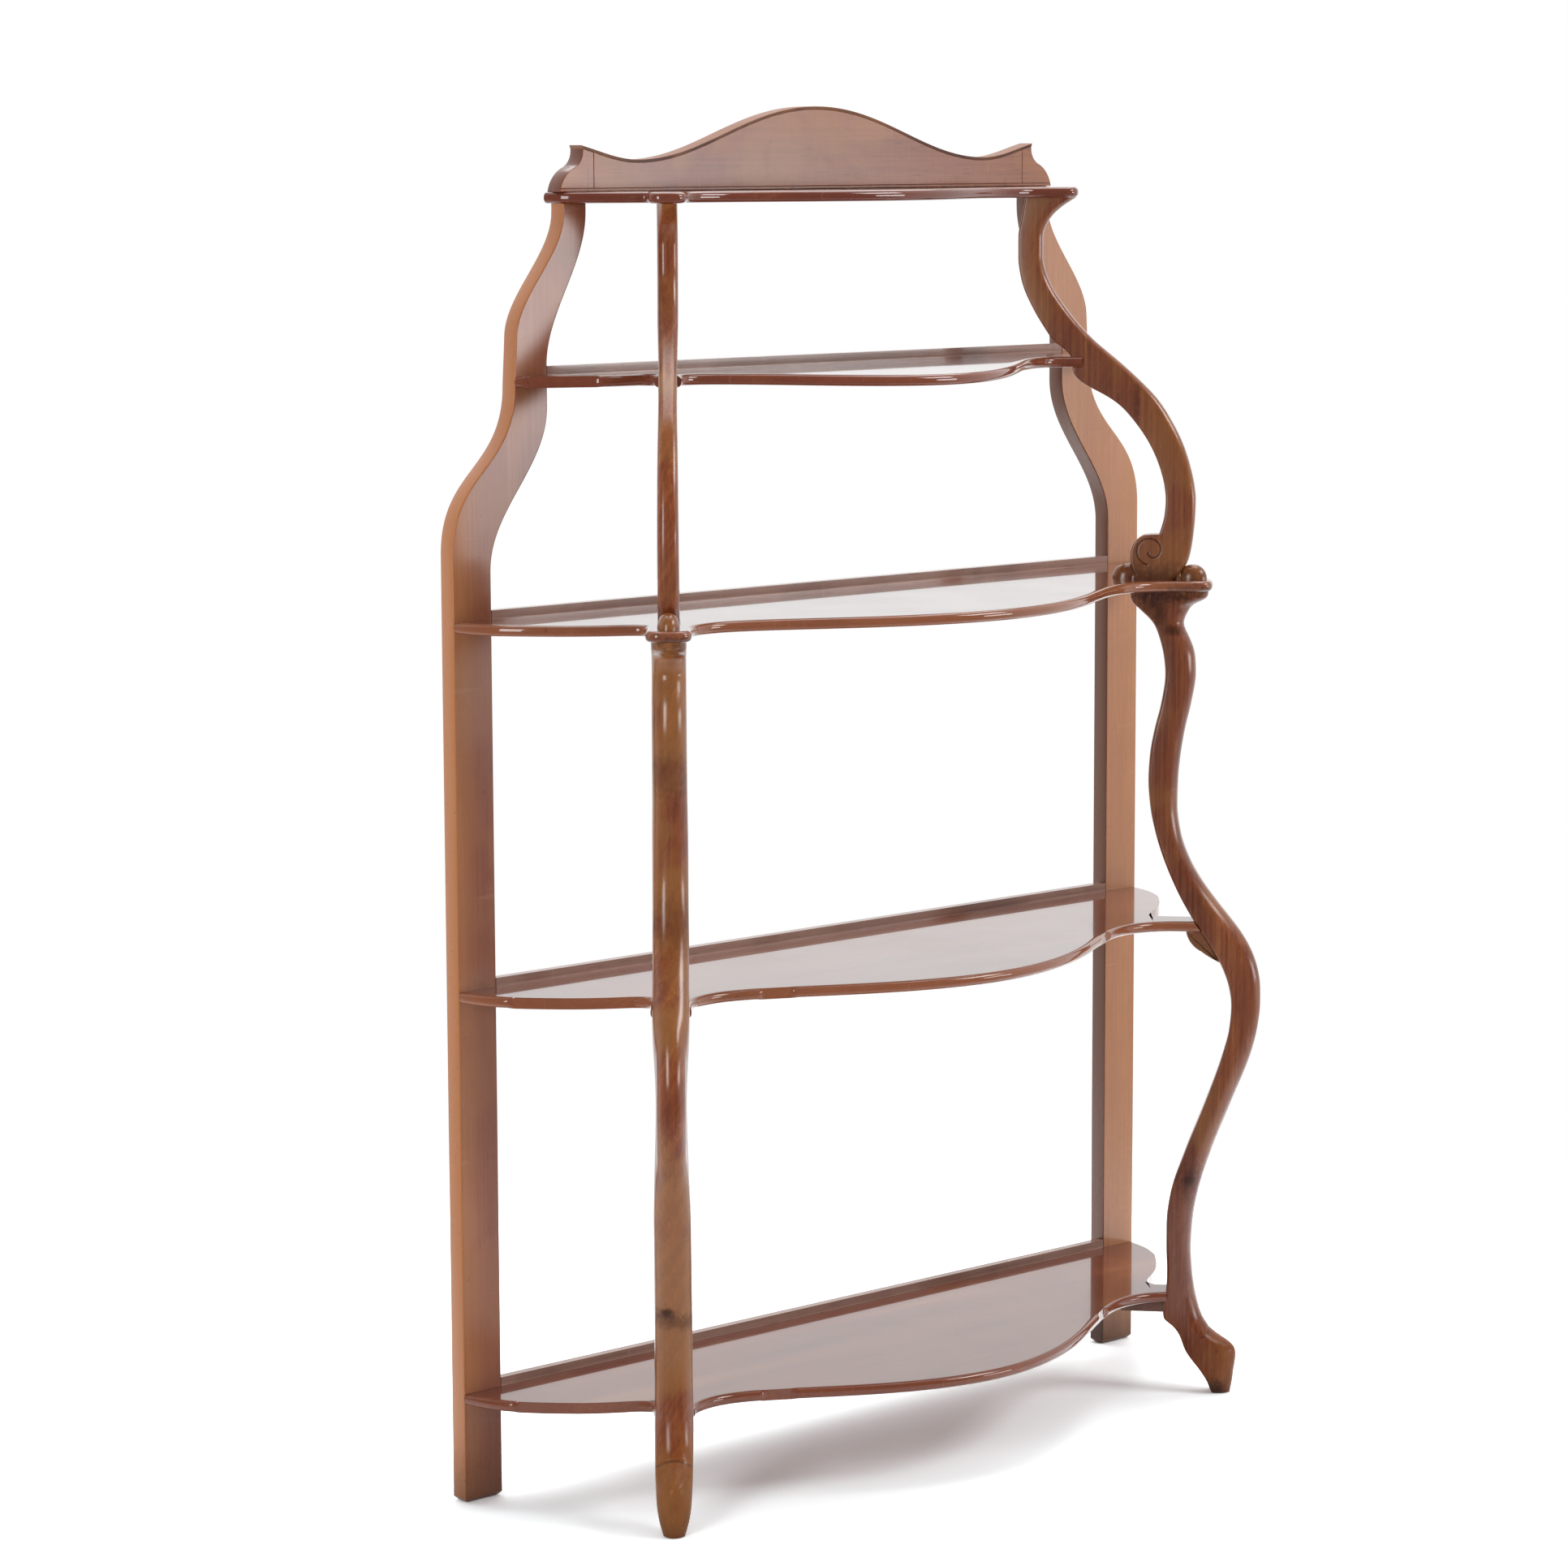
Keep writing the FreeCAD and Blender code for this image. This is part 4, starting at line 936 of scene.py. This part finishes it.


# ---------------------------------------------------------------- dark marks, old ones and painted shade: place, reach and strength
UPRIGHT_MARKS = [((-0.4835, 0.1645, 1.176), (0.005, 0.01, 0.012), 0.5),
                 ((-0.4765, 0.1645, 1.184), (0.003, 0.01, 0.009), 0.55),
                 ((-0.377, 0.1645, 1.472), (0.0016, 0.01, 0.020), 0.7)]
CREST_MARKS = [((-0.350, 0.150, 1.520), (0.0009, 0.04, 0.030), 0.6),
               ((-0.120, 0.150, 1.555), (0.0008, 0.04, 0.022), 0.35),
               ((0.020, 0.150, 1.503), (0.46, 0.04, 0.0040), 0.55)]


def lobe_marks(tier):
    """Painted shade at the lobes, centred just under where a lobed shelf rests on its legs."""
    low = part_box("shelf_" + tier)[0]
    return [(leg_place(LOBE_S[tier], 0.0, low.z - 2 * MM, sign), (0.070, 0.070, 0.016), 0.75)
            for sign in SIDES.values()]


def leg_marks(side):
    """Dark marks on a leg: knots and knocks on its face, and painted shade under the third shelf, where the
    leg stands on that shelf and under the top shelf.
    """
    sign = SIDES[side]
    heights, (_, outer, half) = lower_columns()

    def on_face(s, z, reach, strength):
        return (leg_place(s, -float(np.interp(z, heights, half)), z, sign), reach, strength)

    def on_nose(n, z, reach, strength):
        out = float(np.interp(z, heights, outer)) - 1.5 * MM
        return (leg_place(out, n, z, sign), reach, strength)

    under_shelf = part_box("shelf_third")[0].z
    on_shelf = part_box("shelf_third")[1].z
    under_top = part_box("shelf_top")[0].z
    # Painted shade: darker under the third shelf, where the leg stands on that shelf and under the top
    # shelf.
    marks = [(leg_place(-0.070, 0.0, under_shelf - 5 * MM, sign), (0.07, 0.07, 0.018), 0.75),
             (leg_place(-0.085, 0.0, on_shelf, sign), (0.08, 0.08, 0.030), 0.5),
             (leg_place(-0.105, 0.0, under_top - 8 * MM, sign), (0.06, 0.06, 0.026), 0.85)]
    if side == "left":
        return marks + [on_nose(0.008, 0.248, (0.016, 0.022, 0.014), 0.6),
                        on_nose(0.008, 0.250, (0.007, 0.010, 0.007), 0.8),
                        on_nose(-0.004, 0.238, (0.050, 0.060, 0.014), 0.45),
                        on_nose(0.004, 0.860, (0.040, 0.044, 0.040), 0.3),
                        on_nose(-0.004, 0.690, (0.040, 0.044, 0.050), 0.3)]
    return marks + [on_face(-0.094, 0.998, (0.015, 0.016, 0.022), 0.55),
                    on_face(-0.084, 0.984, (0.014, 0.015, 0.024), 0.6),
                    on_face(-0.066, 0.963, (0.020, 0.022, 0.010), 0.7),
                    on_face(-0.050, 0.985, (0.022, 0.024, 0.028), 0.25),
                    on_face(-0.0413, 0.2735, (0.012, 0.013, 0.014), 0.75),
                    on_face(-0.0413, 0.2735, (0.028, 0.030, 0.036), 0.35),
                    on_face(-0.0080, 0.0060, (0.018, 0.020, 0.020), 0.85),
                    on_face(-0.0048, 0.0553, (0.004, 0.004, 0.004), 0.7),
                    on_face(0.0115, 0.0590, (0.004, 0.004, 0.004), 0.6),
                    (leg_place(-0.1147, -0.0125, 1.243, 1), (0.006, 0.007, 0.040), 0.5)]


# ---------------------------------------------------------------- materials, in screen colours
def new_material(name):
    material = bpy.data.materials.new(name)
    material.use_nodes = True
    return material, material.node_tree


class Wood:
    """Mahogany in the making: each step lays something over the colour reached so far."""

    def __init__(self, name, stops, grain_along, weights=(1.0, 0.1, 0.55), offset=(0.0, 0.0, 0.0),
                 pores=0.55):
        """The plain figure; grain_along is 0, 1 or 2 for grain along x, y or z."""
        self.material, self.tree = new_material(name)
        self.place = add(self.tree, "TexCoord", pick="Object")
        mapped = add(self.tree, "Mapping", {"Vector": self.place, "Location": offset,
                                            "Rotation": GRAIN_TURN[grain_along]})
        figures = dict(zip(("Broad", "Slanted", "Fine"), weights))
        self.grain = add(self.tree, "Group", {"Vector": mapped, **figures}, node_tree=GRAIN).node.outputs
        self.wear = add(self.tree, "Group", {"Vector": mapped}, node_tree=WEAR).node.outputs
        places = np.linspace(0.30, 0.70, len(stops))
        self.colour = ramp(self.tree, self.grain["Tone"], list(zip(places, stops)))
        self.dull = 0.0
        self.lay(stops[0], self.grain["Pores"], pores)

    def lay(self, colour, factor, amount=1.0):
        """Lays a colour over the wood where the factor says, by the amount at most."""
        share = calc(self.tree, "MULTIPLY", factor, amount)
        self.colour = add(self.tree, "Mix", {"Factor": share, "A": self.colour, "B": linear(colour)},
                          "Result", data_type="RGBA")

    def mottle(self, patch, amount):
        """Softer patches of another tone, as old polish has where light and hands have worked on it."""
        self.lay(patch, self.wear["Patches"], amount)

    def stored(self, name):
        """A number that the mesh keeps for each of its points."""
        return add(self.tree, "Attribute", pick="Fac", attribute_name=name)

    def edge(self, outer, inner, amount):
        """Other tones on the edges of a board: outside, and where they face the middle."""
        rim = self.stored("rim")
        for colour, way in ((outer, 1.0), (inner, -1.0)):
            facing = calc(self.tree, "MULTIPLY", rim, way)
            self.lay(colour, between(self.tree, facing, 0.2, 0.9), amount)

    def dulled(self, mask):
        """Takes shine away under a mask."""
        self.dull = calc(self.tree, "MAXIMUM", self.dull, mask)

    def mark(self, marks, dulls=False):
        """Dark marks, each a place, a reach and a strength: old knots, burns and knocks, and painted shade
        where parts meet.
        """
        for centre, reach, strength in marks:
            mask = add(self.tree, "Group", {"Vector": self.place, "Place": centre, "Reach": reach,
                                            "Strength": strength}, node_tree=MARK)
            # Dark colour of a knot or knock, also used as painted shade where parts meet.
            self.lay((52, 26, 18), mask)
            if dulls:
                self.dulled(mask)

    def low_shade(self, low, high, amount):
        """Painted shade that thickens from the high level down to the low one, so the wood is darker
        towards the floor; it also dulls the coat.
        """
        height = add(self.tree, "SeparateXYZ", {0: self.place}, "Z")
        ragged = calc(self.tree, "MULTIPLY_ADD", self.wear["Haze"], (high - low) * 0.9, height)
        mask = between(self.tree, ragged, high + (high - low) * 0.45, low)
        # Painted shade: darker towards the floor.
        self.lay((58, 36, 28), mask, amount)
        self.dulled(mask)

    def polish(self, roughness, coat, coat_roughness, bump=0.05):
        """Lays the polish over the wood: scratches and spots show in its colour and its coat."""
        tree, wear = self.tree, self.wear
        self.lay((44, 24, 18), wear["Spots"], 0.35)
        self.lay((206, 176, 150), wear["Scratches"], 0.07)
        height = calc(tree, "SUBTRACT", self.grain["Height"], wear["Scratches"])
        shine = spread(tree, wear["Scratches"], 0.0, 1.0, coat, coat * 0.8)
        clear = spread(tree, self.dull, 0.0, 1.0, 1.0, 0.12)
        fill(tree, tree.nodes["Principled BSDF"], {
            "Base Color": self.colour,
            "Roughness": spread(tree, wear["Haze"], 0.35, 0.7, roughness * 0.8, roughness * 1.35),
            "Coat Weight": calc(tree, "MULTIPLY", shine, clear),
            "Normal": add(tree, "Bump", {"Height": height, "Strength": bump, "Distance": 0.3 * MM}),
            "Coat Roughness": coat_roughness, "Coat IOR": 1.5,
            "IOR": 1.45, "Specular IOR Level": 0.12})
        return self.material


def shelf_polish(name, edge, edge_amount):
    """High gloss shelf: dark red-brown top, its worn edge a little paler."""
    wood = Wood(name, ((70, 27, 17), (100, 47, 31), (120, 62, 40), (146, 90, 62)), 0, (1.0, 0.0, 0.5))
    wood.mottle((128, 80, 54), 0.35)
    wood.edge(edge, edge, edge_amount)
    # Painted shade under the lobes of the third and top shelves, where they rest on the legs.
    wood.mark([*lobe_marks("third"), *lobe_marks("top")])
    return wood.polish(0.16, 1.0, 0.035)


def upright_polish(side):
    """Satin back upright: golden outer edge, dark inner edge, and a foot darkened by painted shade."""
    sign = SIDES[side]
    stops, golden, dark, low_shade_top, low_shade, marks = UPRIGHT_LOOK[side]
    wood = Wood("polished_upright_" + side, stops, 2, (1.0, 0.1, 0.45), (1.0 + sign, sign, 0.0), 0.35)
    across = add(wood.tree, "SeparateXYZ", {0: wood.place}, "X")
    inside, outside = sign * UPRIGHT_FADE[0], sign * UPRIGHT_FADE[1]
    wood.lay((176, 116, 70), between(wood.tree, across, inside, outside), golden)
    wood.lay((108, 56, 46), between(wood.tree, across, outside, inside), dark)
    wood.mottle((158, 108, 72), 0.25)
    wood.edge((178, 112, 62), (94, 54, 40), 0.8)
    # Painted shade darkening the foot towards the floor.
    wood.low_shade(0.0, low_shade_top, low_shade)
    wood.mark(marks)
    return wood.polish(0.3, 0.9, 0.2)


def leg_polish(side):
    """Waxy leg: red-brown with golden patches along its length, a knot and a few dark knocks."""
    stops, offset, slanted, golden = LEG_LOOK[side]
    wood = Wood("polished_leg_" + side, stops, 2, (1.0, slanted, 1.2), offset)
    wood.mottle((148, 100, 50), golden)
    # Knots and knocks, with painted shade under and over the shelves; all of them dull the coat.
    wood.mark(leg_marks(side), dulls=True)
    # Painted shade in the scroll's spiral cut and in the toe's crease.
    wood.lay((46, 20, 14), between(wood.tree, wood.stored("cut"), 0.1, 0.8), 0.85)
    # Painted shade at the foot, and a lighter one over the toe; both dull the coat.
    wood.low_shade(0.0, 0.04, 0.45)
    wood.low_shade(0.085, 0.13, 0.1)
    return wood.polish(0.28, 1.0, 0.22, 0.08)


def crest_polish(name, stops, outer, roughness=0.34, coat=0.8):
    """Dry, hazy crest: its figure lies along the board and is crossed by a faint ripple."""
    wood = Wood(name, stops, 0, (1.0, 0.1, 0.4))
    ripple = noise(wood.tree, wood.place, (520.0, 60.0, 30.0), 2.0)
    wood.lay(stops[0], between(wood.tree, ripple, 0.40, 0.72), 0.14)
    wood.mottle((150, 96, 46), 0.45)
    wood.edge(outer, outer, 0.8)
    wood.mark(CREST_MARKS)
    return wood.polish(roughness, coat, 0.2, 0.03)


def rail_polish():
    """Pale rail, darker towards its top."""
    wood = Wood("polished_rail", ((142, 102, 88), (184, 145, 130), (198, 157, 140), (212, 175, 156)),
                0, (1.0, 0.0, 0.5))
    wood.mottle((112, 76, 64), 0.3)
    wood.lay((84, 54, 44), between(wood.tree, wood.stored("rise"), 0.02, 0.16), 0.5)
    return wood.polish(0.26, 0.85, 0.14)


def block_polish():
    wood = Wood("polished_block", ((66, 30, 18), (98, 50, 30), (112, 62, 38), (136, 80, 52)), 0)
    wood.mottle((140, 96, 56), 0.4)
    return wood.polish(0.3, 0.8, 0.2)


def bare_wood():
    return Wood("tenon_wood_bare", ((110, 75, 45), (140, 100, 65), (165, 122, 84)), 2).polish(0.6, 0.0, 0.3)


def dull_iron():
    material, tree = new_material("nail_iron_dull")
    rust = noise(tree, add(tree, "TexCoord", pick="Object"), 300.0, 4.0)
    colour = ramp(tree, rust, ((0.35, (70, 68, 66)), (0.65, (96, 74, 58))))
    fill(tree, tree.nodes["Principled BSDF"], {"Base Color": colour, "Metallic": 0.8, "Roughness": 0.55})
    return material


SHELF_EDGES = {"bottom": ((126, 68, 44), 0.6), "fourth": ((150, 92, 62), 0.6),
               "third": ((150, 92, 62), 0.6), "second": ((122, 64, 44), 0.6),
               "top": ((104, 50, 37), 0.72)}
CREST_TONES = ((84, 36, 18), (124, 64, 38), (140, 78, 48), (156, 96, 62))
CAP_TONES = ((56, 30, 22), (78, 44, 34), (94, 58, 44))
UPRIGHT_FADE = (0.508, 0.546)  # how far out the front of an upright turns from dark to golden
# Tones, golden share, dark share, height and amount of the painted shade at the foot, marks.
# The left upright's darker tones and the right one's paler tones are painted shade and painted light on one
# wood, lit more from the right.
UPRIGHT_LOOK = {"left": (((106, 50, 35), (141, 82, 56), (155, 96, 67), (178, 120, 85)),
                         0.45, 0.45, 0.10, 0.65, UPRIGHT_MARKS),
                "right": (((144, 87, 53), (170, 113, 75), (180, 123, 83), (196, 142, 102)),
                          0.15, 0.1, 0.17, 0.95, [])}
# Tones, place in the figure, shares of the slanted figure and of the golden patches.
LEG_LOOK = {"left": (((80, 32, 16), (112, 52, 26), (134, 70, 34), (160, 100, 52)),
                     (0.0, 0.0, 0.0), 1.3, 0.55),
            "right": (((78, 33, 17), (110, 53, 29), (131, 72, 39), (157, 98, 55)),
                      (2.0, 0.7, 0.4), 0.3, 0.36)}


# ---------------------------------------------------------------- stage, light and camera
def room_level(tree, place, run):
    """Full light towards the backdrop, less from the room in front, and full where it is seen."""
    behind = add(tree, "VectorMath", {0: place, 1: BACKDROP_HEADING}, "Value", operation="DOT_PRODUCT")
    seen = add(tree, "LightPath", pick="Is Camera Ray")
    return calc(tree, "MAXIMUM", between(tree, behind, *run, ROOM_DIM, 1.0), seen)


def floor_material():
    """Pale matt floor that looks white where nothing shades it; it keeps the shadow."""
    material, tree = new_material("pale_floor")
    seen = add(tree, "LightPath").node.outputs
    ray = calc(tree, "MAXIMUM", seen["Is Camera Ray"], seen["Is Glossy Ray"])
    ray = calc(tree, "MAXIMUM", ray, seen["Is Transmission Ray"])
    place = add(tree, "TexCoord", pick="Object")
    level = room_level(tree, place, FLOOR_DIM_RUN)
    far = add(tree, "VectorMath", {0: place}, "Value", operation="LENGTH")
    glow = calc(tree, "MULTIPLY", ray, between(tree, far, FLOOR_NEAR, FLOOR_FAR))
    pale = add(tree, "VectorMath", {0: FLOOR_SEEN, "Scale": level}, operation="SCALE")
    colour = add(tree, "Mix", {"Factor": ray, "A": FLOOR_GREY, "B": pale}, "Result", data_type="RGBA")
    shader = tree.nodes["Principled BSDF"]
    fill(tree, shader, {"Base Color": colour, "Roughness": 0.9, "Specular IOR Level": 0.0})
    white = add(tree, "Emission", {"Color": WHITE, "Strength": level})
    blend = add(tree, "MixShader", {0: glow, 1: shader.outputs[0], 2: white})
    fill(tree, tree.nodes["Material Output"], {"Surface": blend})
    return material


def make_floor():
    r, z = FLOOR_REACH, -FLOOR_DROP
    mesh = bpy.data.meshes.new("floor")
    mesh.from_pydata([(-r, -r, z), (r, -r, z), (r, r, z), (-r, r, z)], [], [(0, 1, 2, 3)])
    paint(mesh, floor_material())
    placed("floor", mesh)


def make_world():
    """White backdrop behind the stand; the room on the camera's side is dimmer."""
    world = bpy.data.worlds.new("studio")
    bpy.context.scene.world = world
    world.use_nodes = True
    tree = world.node_tree
    level = room_level(tree, add(tree, "TexCoord", pick="Generated"), WORLD_DIM_RUN)
    fill(tree, tree.nodes["Background"], {"Color": WHITE, "Strength": level})


def add_lamp(name, place, target, size, power):
    lamp = bpy.data.lights.new(name, "AREA")
    lamp.shape = "RECTANGLE"
    lamp.size, lamp.size_y = size
    lamp.energy = power
    holder = placed(name, lamp)
    holder.location = place
    holder.rotation_euler = (Vector(target) - Vector(place)).to_track_quat("-Z", "Y").to_euler()


def make_camera():
    """The camera stands to the left of the stand's front and looks slightly down."""
    lens = bpy.data.cameras.new("camera")
    lens.sensor_fit = "HORIZONTAL"
    lens.sensor_width = SENSOR
    lens.lens = CAMERA_LENS
    lens.clip_end = CLIP_END
    camera = placed("camera", lens)
    camera.matrix_world = (Matrix.Translation(CAMERA_PLACE) @ Matrix.Rotation(CAMERA_TURN, 4, "Z")
                           @ Matrix.Rotation(math.pi / 2 - CAMERA_DIP, 4, "X")
                           @ Matrix.Rotation(CAMERA_ROLL, 4, "Z"))
    bpy.context.scene.camera = camera


def make_stage():
    make_floor()
    make_world()
    for name, lamp in LAMPS.items():
        add_lamp(name, *lamp)
    make_camera()
    bpy.context.scene.view_settings.view_transform = "Standard"


# ---------------------------------------------------------------- the etagere
def make_etagere():
    shelves = {tier: shelf_polish("polished_shelf_" + tier, *SHELF_EDGES[tier]) for tier in SHELVES}
    crest = crest_polish("polished_crest", CREST_TONES, (98, 52, 38))
    cap = crest_polish("polished_crest_cap", CAP_TONES, (150, 108, 88), 0.5, 0.2)
    block = block_polish()
    rail = rail_polish()
    rails = rail_tree()
    for tier in SHELVES:
        make_shelf(tier, shelves[tier])
    for tier in RAILS:
        make_rail(tier, rails, rail)
    for node in CREST:
        make_board(node, cap if node == "crest_cap" else crest, CREST_ARRIS)
    for side in SIDES:
        make_upright(side, upright_polish(side))
        make_board("bearer_block_" + side, block, BLOCK_ARRIS, axis=2)
        make_bracket(side, block)
        leg = leg_polish(side)
        make_lower_leg(side, leg)
        make_upper_leg(side, leg)
    hidden = {"loose_tenons": bare_wood(), "upright_nails": dull_iron(),
              "block_nails": dull_iron(), "crest_nails": dull_iron()}
    for node, material in hidden.items():
        paint(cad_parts[node].data, material)


make_etagere()
make_stage()
